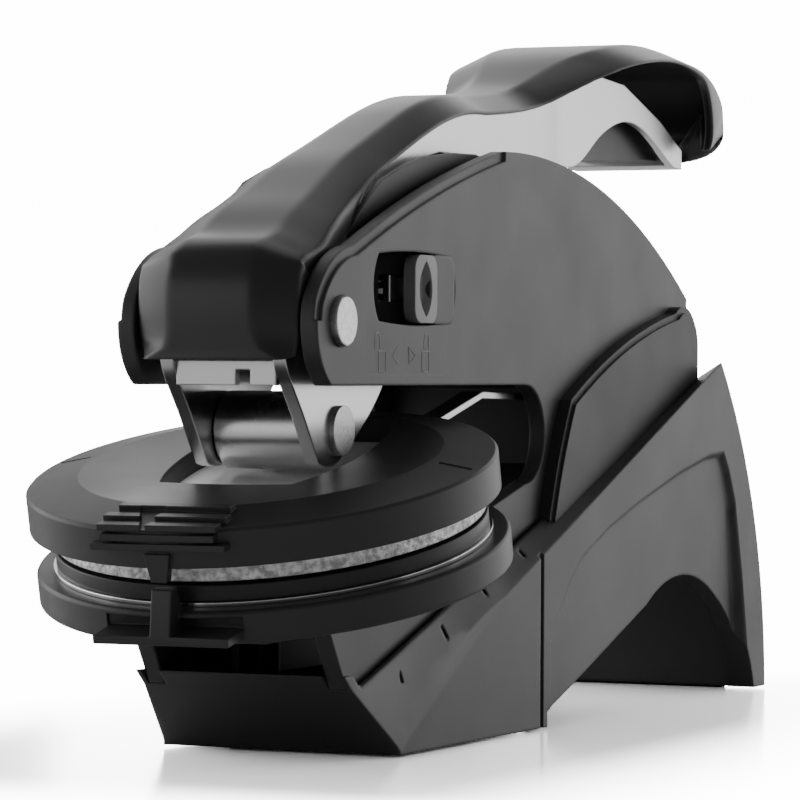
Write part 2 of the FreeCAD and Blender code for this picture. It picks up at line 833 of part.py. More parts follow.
def lever_skirt(shell):
    """The bright pressed channel under the shell, with the window under the grip."""
    half = neck_half + shell_facet
    low = lever_points(SKIRT_SHARES)
    window = lever_points(WINDOW_SHARES)
    tail = lever_points(TAIL_SHARES)
    body = lever_block(low + [window[-1]], tail, half, skirt_inset).cut(shell)
    hole = outline([low[-1]], window, [window[-1] - at(0, lever_rise / 4)],
                   [low[-1] - at(0, lever_rise / 4)])
    body = body.cut(across(hole, half + overrun))
    depth = shell_thick + skirt_thick
    web = lever_line(depth, *WEB_COUNTS)
    end = tail[3] - at(skirt_thick, skirt_thick)
    pocket = outline(
        [at(web[0].y, pivot_height)],
        *[[point] for point in web],
        [tail[4] - at(0, skirt_thick)],
        [end],
        [at(tail[0].y - skirt_thick, tail[2].z - skirt_thick)],
        [at(tail[0].y - skirt_thick, pivot_height)],
    )
    inner = across(pocket, half - skirt_thick).common(plan_prism(skirt_inset + skirt_thick))
    return body.cut(inner).removeSplitter()


def lever_core(shell, skirt):
    """The black core inside the skirt, with the hub that the pivot's bush sits in."""
    bottom = lever_points(CORE_SHARES)
    tail = lever_points(TAIL_SHARES)[3:]
    hub = rod(hub_radius, -fork_inner, fork_inner, 0, pivot_height)
    neck = at(-hub_radius / 2, pivot_height + hub_radius / 2)
    roof = lever_line(shell_thick / 2, CORE_COUNTS[0], CORE_COUNTS[-1])
    points = [neck] + bottom + tail + roof[::-1]
    body = across(outline(*[[point] for point in points]), core_half).fuse(hub)
    body = body.cut([shell, skirt])
    body = body.cut(rod(pin_radius + bush_wall, -hood_half, hood_half, 0, pivot_height))
    return body.removeSplitter()


def lever_bush():
    """The bush that turns on the pivot pin."""
    tube = rod(pin_radius + bush_wall, -fork_inner, fork_inner, 0, pivot_height)
    return tube.cut(rod(pin_radius + running_gap, -hood_half, hood_half, 0, pivot_height))


def pivot_pin():
    """The steel pin through both plates, with its bright ends standing a little proud."""
    end = plate_inner + plate_thick + pin_proud
    pin = rod(pin_radius, -end, end, 0, pivot_height)
    tips = [edge for edge in pin.Edges if edge.BoundBox.XLength < seat_gap]
    return pin.makeChamfer(edge_soft / 2, tips)


# Fork plate about the pivot, from its front edge round the toe and up the rear, as shares of
# the roller's drop
FORK_SHARES = (
    (-0.22, -0.593), (0.0, -0.848), (0.344, -1.305), (0.6, -1.335), (0.84, -1.25),
    (1.0, -1.16), (1.2, -1.03), (1.5, -0.82), (1.76, -0.58), (1.66, 0.0),
)


def fork_plate(side):
    """One of the two steel plates that carry the roller."""
    axle = at(roller_reach, pivot_height - roller_drop)
    edge = spread(FORK_SHARES, (0, pivot_height), roller_drop, roller_drop)
    top = pivot_height + fork_top
    wire = outline(
        [edge[0]],
        [edge[1]],
        [edge[2]],
        [edge[3], edge[4]],
        [edge[5], edge[6]],
        [edge[7], edge[8]],
        [edge[9]],
        [at(roller_drop - hub_radius / 2, top)],
        [at(0, top - hub_radius / 3)],
        [at(-fork_front, pivot_height), edge[0]],
    )
    plate = slab(wire, fork_inner, fork_inner + fork_thick)
    plate = plate.cut(rod(pin_radius + running_gap, 0, hood_half, 0, pivot_height))
    plate = plate.cut(rod(axle_radius, 0, hood_half, axle.y, axle.z))
    return plate if side > 0 else mirrored(plate)


def fork_web():
    """The cross web that joins the fork plates in front of the hub, with its punched slot."""
    roof = pivot_height - nose_drop
    rear = fork_web_thick - fork_web_front
    web = block(-fork_inner, fork_inner, -fork_web_front, rear, roof, pivot_height - hub_radius / 2)
    web = web.cut(rod(hub_radius, -hood_half, hood_half, 0, pivot_height))
    low = [solid for solid in web.Solids if solid.CenterOfMass.z < pivot_height - hub_radius / 2]
    slot = block(fork_web_slot_place - fork_web_slot / 2, fork_web_slot_place + fork_web_slot / 2,
                 -fork_web_front - overrun, rear + overrun, roof - overrun, roof + fork_web_slot)
    return low[0].cut(slot)


def roller():
    """The steel roller that presses on the cap's plate."""
    axle = at(roller_reach, pivot_height - roller_drop)
    body = rod(roller_radius, -roller_half, roller_half, axle.y, axle.z)
    ends = [edge for edge in body.Edges if edge.BoundBox.XLength < seat_gap]
    body = body.makeChamfer(edge_soft, ends)
    return body.cut(rod(axle_radius + running_gap, -hood_half, hood_half, axle.y, axle.z))


def roller_axle():
    """The riveted axle of the roller, with a washer face between roller and plates."""
    axle = at(roller_reach, pivot_height - roller_drop)
    end = fork_inner + fork_thick
    body = rod(axle_radius, -end, end, axle.y, axle.z)
    for start in (end, -end - axle_head_thick):
        body = body.fuse(rod(axle_head_radius, start, start + axle_head_thick, axle.y, axle.z))
    gap = running_gap
    for start in (roller_half + gap, -fork_inner):
        collar = rod(collar_radius, start, start + fork_inner - roller_half - gap, axle.y, axle.z)
        body = body.fuse(collar)
    return body.removeSplitter()


# The coil spring: its feet's bend as a share of the wire, and how its gap is measured
FOOT_BEND_SHARE = 1.5
TURN_POINT_COUNT = 32
APART_COUNT = 16


def bowed(start, corner, end):
    """The arc from start to end whose end tangents meet at corner."""
    chord = (start + end) * 0.5
    half = (end - start).Length / 2
    rise = (corner - chord).Length
    bow = half * math.tan(math.atan2(rise, half) / 2)
    return Part.Arc(start, chord + (corner - chord) * (bow / rise), end).toShape()


def biarc(start, leave, end, arrive):
    """Two tangent arcs between points with given directions."""
    run = end - start
    both = leave + arrive
    turn = 2 * (1 - leave.dot(arrive))
    reach = (math.sqrt(run.dot(both) ** 2 + turn * run.dot(run)) - run.dot(both)) / turn
    first = start + leave * reach
    second = end - arrive * reach
    joint = (first + second) * 0.5
    return [bowed(start, first, joint), bowed(joint, second, end)]


def coil_path(radius, wire, bottom, top, turns):
    """An upright coil's centreline: straight feet square to its seats, then quarter-turn biarcs."""
    foot_bend = wire * FOOT_BEND_SHARE
    climb = top - bottom - 2 * (wire + foot_bend)
    pitch = climb / turns
    slope = math.atan2(pitch, 2 * math.pi * radius)
    sweep = math.pi / 2 - slope
    low = bottom + wire + foot_bend * math.sin(sweep)
    pitch = (top - bottom - 2 * (low - bottom)) / turns

    def place(angle):
        return V(radius * math.cos(angle), radius * math.sin(angle), low + pitch * angle / (2 * math.pi))

    def heading(angle):
        return V(-math.sin(angle) * math.cos(slope), math.cos(angle) * math.cos(slope), math.sin(slope))

    back = foot_bend * (1 - math.cos(sweep))
    start = V(radius, -back, bottom + wire)
    steps = turns * 4
    angles = [math.pi / 2 * step for step in range(steps + 1)]
    edges = [Part.LineSegment(V(radius, -back, bottom), start).toShape()]
    edges.append(bowed(start, start + V(0, 0, foot_bend * math.tan(sweep / 2)), place(0)))
    for near, far in zip(angles, angles[1:]):
        edges += biarc(place(near), heading(near), place(far), heading(far))
    end = V(radius, back, top - wire)
    edges.append(bowed(place(angles[-1]), end - V(0, 0, foot_bend * math.tan(sweep / 2)), end))
    edges.append(Part.LineSegment(end, V(radius, back, top)).toShape())
    return Part.Wire(edges)


def least_gap(path, wire, turns):
    """The least clear space between a coil's turns, measured on points of its centreline."""
    points = path.discretize(turns * TURN_POINT_COUNT)
    spans = [(second - first).Length for index, first in enumerate(points)
             for second in points[index + APART_COUNT:]]
    return min(spans) - wire


def lever_spring(core):
    """The coil spring between the frame's bridge and the lever's core."""
    seat = pivot_height - nose_drop + bridge_thick
    above = core.common(rod_up(spring_outer, spring_reach, seat + overrun, seat + lever_rise))
    mean = spring_outer - spring_wire / 2
    path = coil_path(mean, spring_wire, seat + seat_gap, above.BoundBox.ZMin - seat_gap, spring_turns)
    start = path.Edges[0].Vertexes[0].Point
    section = Part.Wire(Part.Circle(start, V(0, 0, 1), spring_wire / 2).toShape())
    coil = path.makePipeShell([section], True, False)
    coil.translate(at(spring_reach, 0))
    print("least gap between the spring's turns", round(least_gap(path, spring_wire, spring_turns), 2))
    return coil


def rod_up(radius, y, bottom, top):
    """An upright round bar on the middle plane."""
    return Part.makeCylinder(radius, top - bottom, at(y, bottom), V(0, 0, 1))


def spring_post():
    """The post on the bridge that holds the spring's foot."""
    seat = pivot_height - nose_drop + bridge_thick
    return rod_up(spring_post_radius, spring_reach, seat, seat + spring_post_height)


def lock_knob():
    """The sliding knob with its finger groove, in the recess of the right-hand plate."""
    outer = plate_inner + plate_thick
    floor = outer - recess_depth + seat_gap
    face = outer + knob_proud
    half = knob_tall / 2
    shoulder_z = half - knob_bow
    front = knob_reach - knob_length / 2
    rear = knob_reach + knob_length / 2
    wire = outline(
        [at(front, knob_height - shoulder_z)],
        [at(knob_reach, knob_height - half), at(rear, knob_height - shoulder_z)],
        [at(rear, knob_height + shoulder_z)],
        [at(knob_reach, knob_height + half), at(front, knob_height + shoulder_z)],
    )
    knob = slab(wire, floor, face)
    middle = V(face + groove_radius - groove_depth, knob_reach, knob_height - shoulder_z)
    groove = Part.makeCylinder(groove_radius, 2 * shoulder_z, middle, V(0, 0, 1))
    knob = knob.cut(groove)
    stem = block(plate_inner, floor + seat_gap, knob_reach - stem_length / 2,
                 knob_reach + stem_length / 2, knob_height - stem_tall / 2, knob_height + stem_tall / 2)
    return knob.fuse(stem).removeSplitter()


def lock_slider():
    """The steel slide on the plate's inner face that the knob carries."""
    half = slider_tall / 2
    plate = block(plate_inner - slider_thick, plate_inner, knob_reach - slider_length / 2,
                  knob_reach + slider_length / 2, knob_height - half, knob_height + half)
    corners = [edge for edge in plate.Edges if edge.BoundBox.YLength < seat_gap
               and edge.BoundBox.ZLength < seat_gap]
    return plate.makeFillet(half / 3, corners)


# Die holder, drawn flat about the middle of the lower ring's top
GUIDE_SEAT_SHARE = 0.8
GUIDE_TOP_SHARE = 0.5
GUIDE_HOLE_SHARE = 0.85
GUIDE_REACH_SHARE = 0.7635
GUIDE_HALF_SHARE = 0.646


def guide_places():
    """Plan view places of the two guide pins, in the die holder's own flat frame."""
    circle = counter_boss_radius - guide_margin
    half = circle * GUIDE_HALF_SHARE
    reach = circle * GUIDE_REACH_SHARE
    return ((-half, reach), (half, reach))


def lower_ring():
    """The lower ring of the die holder, with its front lip, slots and pointer."""
    ring = disc(ring_radius, -ring_height, 0)
    ring = ring.makeChamfer(edge_soft, [edge for edge in ring.Edges if edge.BoundBox.ZLength < seat_gap])
    ring = ring.cut(disc(counter_boss_radius + seat_gap, -counter_boss_depth - seat_gap, overrun))
    front = -ring_radius
    shelf = -ring_height + lip_low + lip_thick
    lip = block(-lip_half, lip_half, front - lip_reach, front + ring_height,
                -ring_height + lip_low, shelf)
    slot = block(-lip_half, lip_half, front - overrun, front + lip_slot_depth,
                 shelf, shelf + lip_slot_height)
    pointer = outline(
        [at(front - lip_reach, shelf)],
        [at(front - pointer_lean, pointer_rise)],
        [at(front - pointer_lean + pointer_depth, pointer_rise)],
        [at(front + pointer_depth, 0)],
        [at(front + lip_slot_depth, shelf)],
    )
    ring = ring.cut(slot).fuse([lip, across(pointer, lip_gap)])
    for x, y in guide_places():
        ring = ring.cut(disc(guide_radius, -ring_height * GUIDE_SEAT_SHARE, overrun, x, y))
    return in_holder(ring.removeSplitter())


def holder_runner():
    """The flat runner under the lower ring that rests on the jaws."""
    base = block(-runner_half, runner_half, -runner_length / 2, runner_length / 2,
                 -ring_height - runner_thick, -ring_height)
    corners = [edge for edge in base.Edges if edge.BoundBox.XLength < seat_gap
               and edge.BoundBox.YLength < seat_gap]
    return in_holder(base.makeChamfer(runner_half / 4, corners))


def trim_ring():
    """The thin bright ring on the lower ring's top."""
    ring = disc(trim_radius, 0, trim_thick).cut(disc(counter_boss_radius + seat_gap, -overrun, overrun))
    return in_holder(ring)


def counter_plate():
    """The dark counter plate that the paper lies on."""
    plate = disc(counter_radius, trim_thick, counter_top)
    plate = plate.fuse(disc(counter_boss_radius, -counter_boss_depth, trim_thick))
    for x, y in guide_places():
        plate = plate.cut(disc(guide_radius + seat_gap * 5, -ring_height, ring_height, x, y))
    return in_holder(plate.removeSplitter())


def upper_die():
    """The cast die under the cap."""
    bottom = counter_top + paper_gap
    die = disc(die_radius, bottom, cap_floor)
    die = die.fuse(disc(die_boss_radius, cap_floor, cap_floor + die_boss_depth))
    for x, y in guide_places():
        die = die.cut(disc(guide_radius + running_gap, -ring_height, ring_height * 3, x, y))
    return in_holder(die.removeSplitter())


def guide_pins():
    """The two steel pins of the lower ring that guide the cap, as one group."""
    top = cap_floor + cap_height * GUIDE_TOP_SHARE
    seat = -ring_height * GUIDE_SEAT_SHARE
    pins = [disc(guide_radius, seat, top, x, y) for x, y in guide_places()]
    return in_holder(Part.makeCompound(pins))


POINTER_TOP_SHARE = 0.39
POINTER_DROP_SHARE = 0.6
POINTER_TIP_SHARE = 0.6
# Grip ribs at the cap's front, from the lowest up: place inwards as a share of the crown's width,
# drop below the rim or rise over it as a share of the crown, and half-width as a share of the lowest
RIB_SHARES = (
    (0.0, -1.45, 1.0), (0.0, -0.45, 0.85), (0.1, 0.1, 0.88), (0.47, 0.47, 0.91), (0.9, 0.9, 0.83),
)
# Triangular notch through the ribs: its tip and its two rear corners
NOTCH_SHARES = ((-0.4, -0.2), (-1.2, 0.8), (-0.28, 0.8))


def well_wire(level, inset):
    """Plan view of the cap's well at a level, inset all round."""
    def spot(x, y):
        return V(x, y, level)
    front = -well_front + inset
    rear = well_rear - inset
    half = well_half - inset
    end = well_end_half - inset
    middle = (front + rear) / 2
    edges = [
        Part.LineSegment(spot(-end, front), spot(end, front)).toShape(),
        Part.Arc(spot(end, front), spot(half, middle), spot(end, rear)).toShape(),
        Part.LineSegment(spot(end, rear), spot(-end, rear)).toShape(),
        Part.Arc(spot(-end, rear), spot(-half, middle), spot(-end, front)).toShape(),
    ]
    return Part.Wire(edges)


def cassette_cap():
    """The cap of the die holder: crowned top, well for the roller, grip ribs and front pointer."""
    profile = [
        V(0, 0, cap_floor), V(cap_radius, 0, cap_floor), V(cap_radius, 0, cap_rim - edge_soft),
        V(cap_radius - edge_soft, 0, cap_rim), V(plateau_radius, 0, cap_top),
        V(0, 0, cap_top - cap_dish),
    ]
    face = Part.Face(Part.makePolygon(profile + profile[:1]))
    cap = face.revolve(V(0, 0, 0), V(0, 0, 1), 360)
    cap.translate(V(0, -cap_lead, 0))
    cap = cap.cut(disc(die_boss_radius + seat_gap, cap_floor - overrun,
                       cap_floor + die_boss_depth + seat_gap))
    level = plate_top - well_plate_thick
    cap = cap.cut(Part.Face(well_wire(level, 0)).extrude(V(0, 0, cap_top - level + overrun)))
    for x, y in guide_places():
        cap = cap.cut(disc(guide_radius + running_gap, cap_floor - overrun,
                           cap_floor + cap_height * GUIDE_HOLE_SHARE, x, y))
    cap = cap.fuse([pointer_wedge()] + grip_ribs())
    slope = math.degrees(math.atan2(cap_crown, cap_radius - plateau_radius))
    for side in (-1, 1):
        mark = block(-mark_length / 2, mark_length / 2, -mark_width / 2, mark_width / 2,
                     -mark_depth, overrun)
        mark.rotate(V(0, 0, 0), V(0, 1, 0), side * slope)
        mark.translate(V(side * (cap_radius + plateau_radius) / 2, -cap_lead, cap_rim + cap_crown / 2))
        cap = cap.cut(mark)
    return in_holder(cap.cut(flat_leaf()).removeSplitter())


def pointer_wedge():
    """The tapering pointer at the cap's front, which hangs over the die's edge."""
    front = -cap_radius - cap_lead
    top = cap_floor + cap_height * POINTER_TOP_SHARE
    bottom = cap_floor - die_thick * POINTER_DROP_SHARE
    tip = pointer_half * POINTER_TIP_SHARE
    points = [V(-pointer_half, front - pointer_thick, top), V(pointer_half, front - pointer_thick, top),
              V(tip, front - pointer_thick, bottom), V(-tip, front - pointer_thick, bottom)]
    face = Part.Face(Part.makePolygon(points + points[:1]))
    wedge = face.extrude(V(0, pointer_thick * 2, 0))
    return wedge


def grip_ribs():
    """The raised ribs across the cap's front that the fingers push on, with their notch."""
    front = -cap_radius - cap_lead
    ribs = []
    for inward, rise, width in RIB_SHARES:
        y = front + inward * crown_width
        top = cap_rim + rise * cap_crown + (rib_rise if rise > 0 else 0)
        half = rib_half * width
        thick = rib_width if inward > 0 else rib_width / 2
        deep = rib_width if inward > 0 else cap_crown
        ribs.append(block(-half, half, y - thick, y + deep, top - rib_width, top))
    corners = [V(share[0] * rib_notch, front + share[1] * crown_width, cap_rim) for share in NOTCH_SHARES]
    notch = Part.Face(Part.makePolygon(corners + corners[:1]))
    notch = notch.extrude(V(0, 0, cap_crown + rib_rise + overrun))
    return [rib.cut(notch) for rib in ribs]


def leaf_end():
    """How far back the cap's leaf reaches in the die holder's frame, just short of the core."""
    level = cap_rim - cap_height / 3 - leaf_fall
    start = on_holder(0, level)
    room = throat_depth + core_setback - leaf_clearance - start.y
    return room / math.cos(TILT)


def flat_leaf():
    """The cap's strap before it is tilted: level behind the cap, then bent down to the core."""
    top = cap_rim - cap_height / 3
    seat = cap_radius - cap_lead - cap_height
    thick = well_plate_thick
    end = leaf_end()
    foot = top - leaf_fall
    wire = outline(
        [at(seat, top - thick)],
        [at(leaf_reach - thick / 2, top - thick)],
        [at(end, foot - thick)],
        [at(end, foot)],
        [at(leaf_reach, top)],
        [at(seat, top)],
    )
    middle = well_end_half
    return slab(wire, middle - leaf_width / 2, middle + leaf_width / 2)


def cap_plate():
    """The bright steel plate at the bottom of the cap's well."""
    return in_holder(Part.Face(well_wire(plate_top - well_plate_thick, seat_gap)).extrude(
        V(0, 0, well_plate_thick)))


def cap_leaf():
    """The steel strap from the cap's rear to the throat's wall, which keeps the cap from turning."""
    return in_holder(flat_leaf())


def screw(radius, head_radius, head_thick, length):
    """A pan-headed screw that points up from its head at z = 0."""
    shank = Part.makeCylinder(radius, length + head_thick)
    return shank.fuse(Part.makeCylinder(head_radius, head_thick)).removeSplitter()


def frame_bolts():
    """The three bolts that tie the plates through the core, with their heads on the left."""
    outer = plate_inner + plate_thick
    length = outer + plate_inner + plate_thick / 2 - screw_head_thick
    bolts = []
    for y, z in bolt_places():
        bolt = screw(screw_radius, screw_head_radius, screw_head_thick, length)
        bolt.rotate(V(0, 0, 0), V(0, 1, 0), 90)
        bolt.translate(V(-outer, y, z))
        bolts.append(bolt)
    return Part.makeCompound(bolts)


def base_screws():
    """The four screws up through the front block into the jaw's bed."""
    screws = []
    for x, y in base_screw_places():
        length = jaw_toe_height - pad_proud - screw_head_thick + boss_height / 2 - slip_gap
        one = screw(screw_radius, screw_head_radius, screw_head_thick, length)
        one.translate(V(x, y, pad_proud))
        screws.append(one)
    return Part.makeCompound(screws)


def rubber_pads():
    """The pads that the embosser stands on, as one group."""
    return Part.makeCompound([pad_block(seat_gap), rear_pad_block(seat_gap)])


def build():
    """Every piece of the embosser by name."""
    shell = base_shell()
    lever = lever_shell()
    skirt = lever_skirt(lever)
    core = lever_core(lever, skirt)
    panel = side_panel(shell)
    parts = {
        "base_shell": shell,
        "rubber_pads": rubber_pads(),
        "base_screws": base_screws(),
        "frame_plate_right": frame_plate(1),
        "frame_plate_left": frame_plate(-1),
        "frame_core": frame_core(),
        "jaw_bed": jaw_bed(),
        "frame_bolts": frame_bolts(),
        "side_panel_right": panel,
        "side_panel_left": mirrored(panel),
        "pivot_pin": pivot_pin(),
        "lever_shell": lever,
        "lever_skirt": skirt,
        "lever_core": core,
        "lever_bush": lever_bush(),
        "fork_plate_right": fork_plate(1),
        "fork_plate_left": fork_plate(-1),
        "fork_web": fork_web(),
        "press_roller": roller(),
        "roller_axle": roller_axle(),
        "lever_spring": lever_spring(core),
        "spring_post": spring_post(),
        "lock_knob": lock_knob(),
        "lock_slider": lock_slider(),
        "lower_ring": lower_ring(),
        "holder_runner": holder_runner(),
        "trim_ring": trim_ring(),
        "counter_plate": counter_plate(),
        "guide_pins": guide_pins(),
        "upper_die": upper_die(),
        "cassette_cap": cassette_cap(),
        "cap_plate": cap_plate(),
        "cap_leaf": cap_leaf(),
    }
    return parts


def main():
    """Build the pieces, stand them on their origin and write one file for each."""
    os.makedirs("parts", exist_ok=True)
    parts = build()
    box = Part.makeCompound(list(parts.values())).BoundBox
    middle = (box.YMin + box.YMax) / 2
    print("origin is", round(middle, 3), "behind the pivot")
    for name, shape in parts.items():
        placed = shape.copy()
        placed.translate(V(0, -middle, 0))
        placed.exportStep("parts/" + name + ".step")
        size = placed.BoundBox
        print(name, len(placed.Solids), round(placed.Volume), placed.isValid(),
              "x %.1f %.1f y %.1f %.1f z %.1f %.1f" % (size.XMin, size.XMax, size.YMin, size.YMax,
                                                      size.ZMin, size.ZMax))


if __name__ == "__main__":
    main()
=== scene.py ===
"""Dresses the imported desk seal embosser: finishes, fine edges, small details, studio and camera.

Every length is in metres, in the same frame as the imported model, unless its name ends in _mm or its
class says that it is in millimetres.
"""

import json
import logging
import math
from collections.abc import Callable
from dataclasses import dataclass, field
from enum import Enum
from typing import Any

import bmesh
import bpy
import numpy as np
from mathutils import Matrix, Vector

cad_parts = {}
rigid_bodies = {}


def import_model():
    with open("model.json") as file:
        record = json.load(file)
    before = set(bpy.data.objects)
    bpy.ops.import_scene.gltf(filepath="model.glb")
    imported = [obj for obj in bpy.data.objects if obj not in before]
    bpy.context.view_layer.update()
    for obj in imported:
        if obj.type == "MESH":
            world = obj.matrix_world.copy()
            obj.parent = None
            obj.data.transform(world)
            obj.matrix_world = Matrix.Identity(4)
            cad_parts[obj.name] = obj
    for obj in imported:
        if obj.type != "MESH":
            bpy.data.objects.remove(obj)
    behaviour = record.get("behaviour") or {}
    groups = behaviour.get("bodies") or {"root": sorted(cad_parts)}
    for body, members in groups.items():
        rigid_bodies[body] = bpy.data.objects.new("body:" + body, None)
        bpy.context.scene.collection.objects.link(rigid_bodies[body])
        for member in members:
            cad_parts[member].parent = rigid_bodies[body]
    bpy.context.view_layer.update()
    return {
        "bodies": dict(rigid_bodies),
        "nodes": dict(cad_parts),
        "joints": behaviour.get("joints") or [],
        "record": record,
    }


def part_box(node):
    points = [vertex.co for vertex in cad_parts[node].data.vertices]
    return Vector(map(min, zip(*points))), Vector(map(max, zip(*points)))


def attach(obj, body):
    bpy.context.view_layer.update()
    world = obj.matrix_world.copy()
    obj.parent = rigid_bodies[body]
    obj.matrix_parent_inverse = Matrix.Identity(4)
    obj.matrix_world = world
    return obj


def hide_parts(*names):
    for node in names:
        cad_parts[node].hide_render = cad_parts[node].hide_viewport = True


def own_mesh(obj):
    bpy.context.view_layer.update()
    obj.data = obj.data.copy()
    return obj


logging.basicConfig(level=logging.INFO, format="%(message)s")
LOG = logging.getLogger("embosser")
MM = 0.001
# A broad patch of a finish is this many grains wide
BROAD_GRAINS = 24
# No finish gets smoother than this where its roughness varies
SMOOTHEST = 0.02
# The most of a side that a corner's rounding may take
CORNER_SHARE = 0.45


def linear(hex_colour: str) -> tuple[float, float, float, float]:
    """Turn an sRGB hex value into the linear colour that a shader takes.

    Args:
        hex_colour: six hex digits.

    Returns:
        Linear red, green, blue and alpha.
    """
    parts = [int(hex_colour[place:place + 2], 16) / 255 for place in (0, 2, 4)]
    red, green, blue = [
        part / 12.92 if part <= 0.04045 else ((part + 0.055) / 1.055) ** 2.4 for part in parts
    ]
    return red, green, blue, 1.0


def add(tree: Any, kind: str, settings: dict[str, Any] | None = None,
        values: dict[Any, Any] | None = None, links: dict[Any, Any] | None = None) -> Any:
    """Add one node with its settings, socket values and incoming links.

    Args:
        tree: the node tree that gets the node.
        kind: the node's type name.
        settings: properties of the node itself.
        values: constants by input socket.
        links: output sockets by the input socket that they feed.

    Returns:
        The new node.
    """
    node = tree.nodes.new(kind)
    for name, value in (settings or {}).items():
        setattr(node, name, value)
    for socket, value in (values or {}).items():
        node.inputs[socket].default_value = value
    for socket, source in (links or {}).items():
        tree.links.new(source, node.inputs[socket])
    return node


def per_metre(size_mm: float) -> float:
    """Scale of a pattern whose features are size_mm apart, on Object coordinates in metres."""
    return 1 / (size_mm * MM)


class Grain(Enum):
    """How a surface was made, which sets the direction of its fine marks."""

    MOULDED = "moulded"
    DRAWN_ACROSS = "drawn across"
    ROLLED_LONG = "rolled long"
    CAST = "cast"


@dataclass(frozen=True)
class Finish:
    """What every finish shares: a shader on noise that is worked out from sizes in millimetres."""

    name: str
    colour: str
    roughness: float
    metallic: float
    grain: Grain
    grain_mm: float
    depth_mm: float
    shift: float = 0.06
    coat: float = 0.0
    coat_roughness: float = 0.2
    ior: float = 1.5
    soft_mm: float = 0.3
    # Share by which a painted highlight lightens the finish's edges
    edge_lift: float = 0.5
    mottle: float = 0.06
    spot_range: tuple[float, float] = (0.38, 0.62)
    edge_range: tuple[float, float] = (0.995, 0.85)

    def stretch(self) -> tuple[float, float, float]:
        """Stretch of the marks along each axis, small where they run long."""
        if self.grain is Grain.DRAWN_ACROSS:
            return 0.04, 1.0, 1.0
        if self.grain is Grain.ROLLED_LONG:
            return 1.0, 0.05, 0.6
        return 1.0, 1.0, 1.0

    def build(self) -> bpy.types.Material:
        """Make the material.

        Returns:
            The finished material, on Object coordinates.
        """
        material = bpy.data.materials.new(self.name)
        material.use_nodes = True
        tree = material.node_tree
        tree.nodes.clear()
        place = add(tree, "ShaderNodeTexCoord")
        turned = add(tree, "ShaderNodeMapping", values={"Scale": self.stretch()},
                     links={"Vector": place.outputs["Object"]})
        fine = add(tree, "ShaderNodeTexNoise",
                   values={"Scale": per_metre(self.grain_mm), "Detail": 3.0, "Roughness": 0.6},
                   links={"Vector": turned.outputs["Vector"]})
        broad = add(tree, "ShaderNodeTexNoise",
                    values={"Scale": per_metre(self.grain_mm * BROAD_GRAINS), "Detail": 2.0},
                    links={"Vector": place.outputs["Object"]})
        soft = add(tree, "ShaderNodeBevel", {"samples": 4}, {"Radius": self.soft_mm * MM})
        bump = add(tree, "ShaderNodeBump", values={"Strength": 1.0, "Distance": self.depth_mm * MM},
                   links={"Height": fine.outputs["Fac"], "Normal": soft.outputs["Normal"]})
        rough = add(tree, "ShaderNodeMapRange", values={
            "To Min": max(self.roughness - self.shift, SMOOTHEST), "To Max": self.roughness + self.shift,
        }, links={"Value": broad.outputs["Fac"]})
        edge_highlight = self.painted_edge_highlight(tree, soft.outputs["Normal"])
        cast = self.grain is Grain.CAST
        spread = self.spots(tree, fine.outputs["Fac"]) if cast else broad.outputs["Fac"]
        marks = add(tree, "ShaderNodeMixRGB", links={"Fac": spread}, values={
            "Color1": self.tinted(1 - self.mottle), "Color2": self.tinted(1 + self.mottle)})
        # Painted highlight: edges, where the softened normal turns away, are lighter by edge_lift
        ramp = add(tree, "ShaderNodeMixRGB", values={"Color2": self.tinted(1 + self.edge_lift)},
                   links={"Fac": edge_highlight, "Color1": marks.outputs["Color"]})
        shader = add(tree, "ShaderNodeBsdfPrincipled", values={
            "Metallic": self.metallic, "IOR": self.ior,
            "Coat Weight": self.coat, "Coat Roughness": self.coat_roughness,
        }, links={"Base Color": ramp.outputs["Color"], "Roughness": rough.outputs["Result"],
                  "Normal": bump.outputs["Normal"]})
        add(tree, "ShaderNodeOutputMaterial", links={"Surface": shader.outputs["BSDF"]})
        return material

    def tinted(self, share: float) -> tuple[float, float, float, float]:
        """The finish's linear colour, made lighter or darker by a share."""
        red, green, blue, _ = linear(self.colour)
        return min(red * share, 1.0), min(green * share, 1.0), min(blue * share, 1.0), 1.0

    def spots(self, tree: Any, noise: Any) -> Any:
        """Harden a soft noise to the light and dark spots of a raw casting."""
        low, high = self.spot_range
        hard = add(tree, "ShaderNodeMapRange", values={"From Min": low, "From Max": high},
                   links={"Value": noise})
        return hard.outputs["Result"]

    def painted_edge_highlight(self, tree: Any, soft_normal: Any) -> Any:
        """Find the edges that get a painted highlight: where the softened normal leaves the true one.

        Args:
            tree: the material's tree.
            soft_normal: the softened normal's socket.

        Returns:
            A socket that is 1 on an edge and 0 on a flat.
        """
        true = add(tree, "ShaderNodeNewGeometry")
        same = add(tree, "ShaderNodeVectorMath", {"operation": "DOT_PRODUCT"},
                   links={0: true.outputs["Normal"], 1: soft_normal})
        flat, turned = self.edge_range
        mask = add(tree, "ShaderNodeMapRange", values={"From Min": flat, "From Max": turned},
                   links={"Value": same.outputs["Value"]})
        return mask.outputs["Result"]


# ABS moulded against a finely spark-eroded tool: an even matt grain that softens every highlight. The
# real grain is some 0.05 mm. Here, and on every moulded piece below, it is drawn coarse enough to show.
PLATE_ABS = Finish("Moulded matt ABS plate", "383839", 0.44, 0.0, Grain.MOULDED, 0.45, 0.012, soft_mm=0.6)
# The same grain a little smoother: the base's long sides hold a satin gradient
BASE_ABS = Finish("Moulded satin ABS base", "303031", 0.4, 0.0, Grain.MOULDED, 0.5, 0.012, soft_mm=0.6)
# A duller tool: the side panels look flatter and darker than the plates beside them
PANEL_ABS = Finish("Moulded matt ABS panel", "2f2f30", 0.5, 0.0, Grain.MOULDED, 0.45, 0.012)
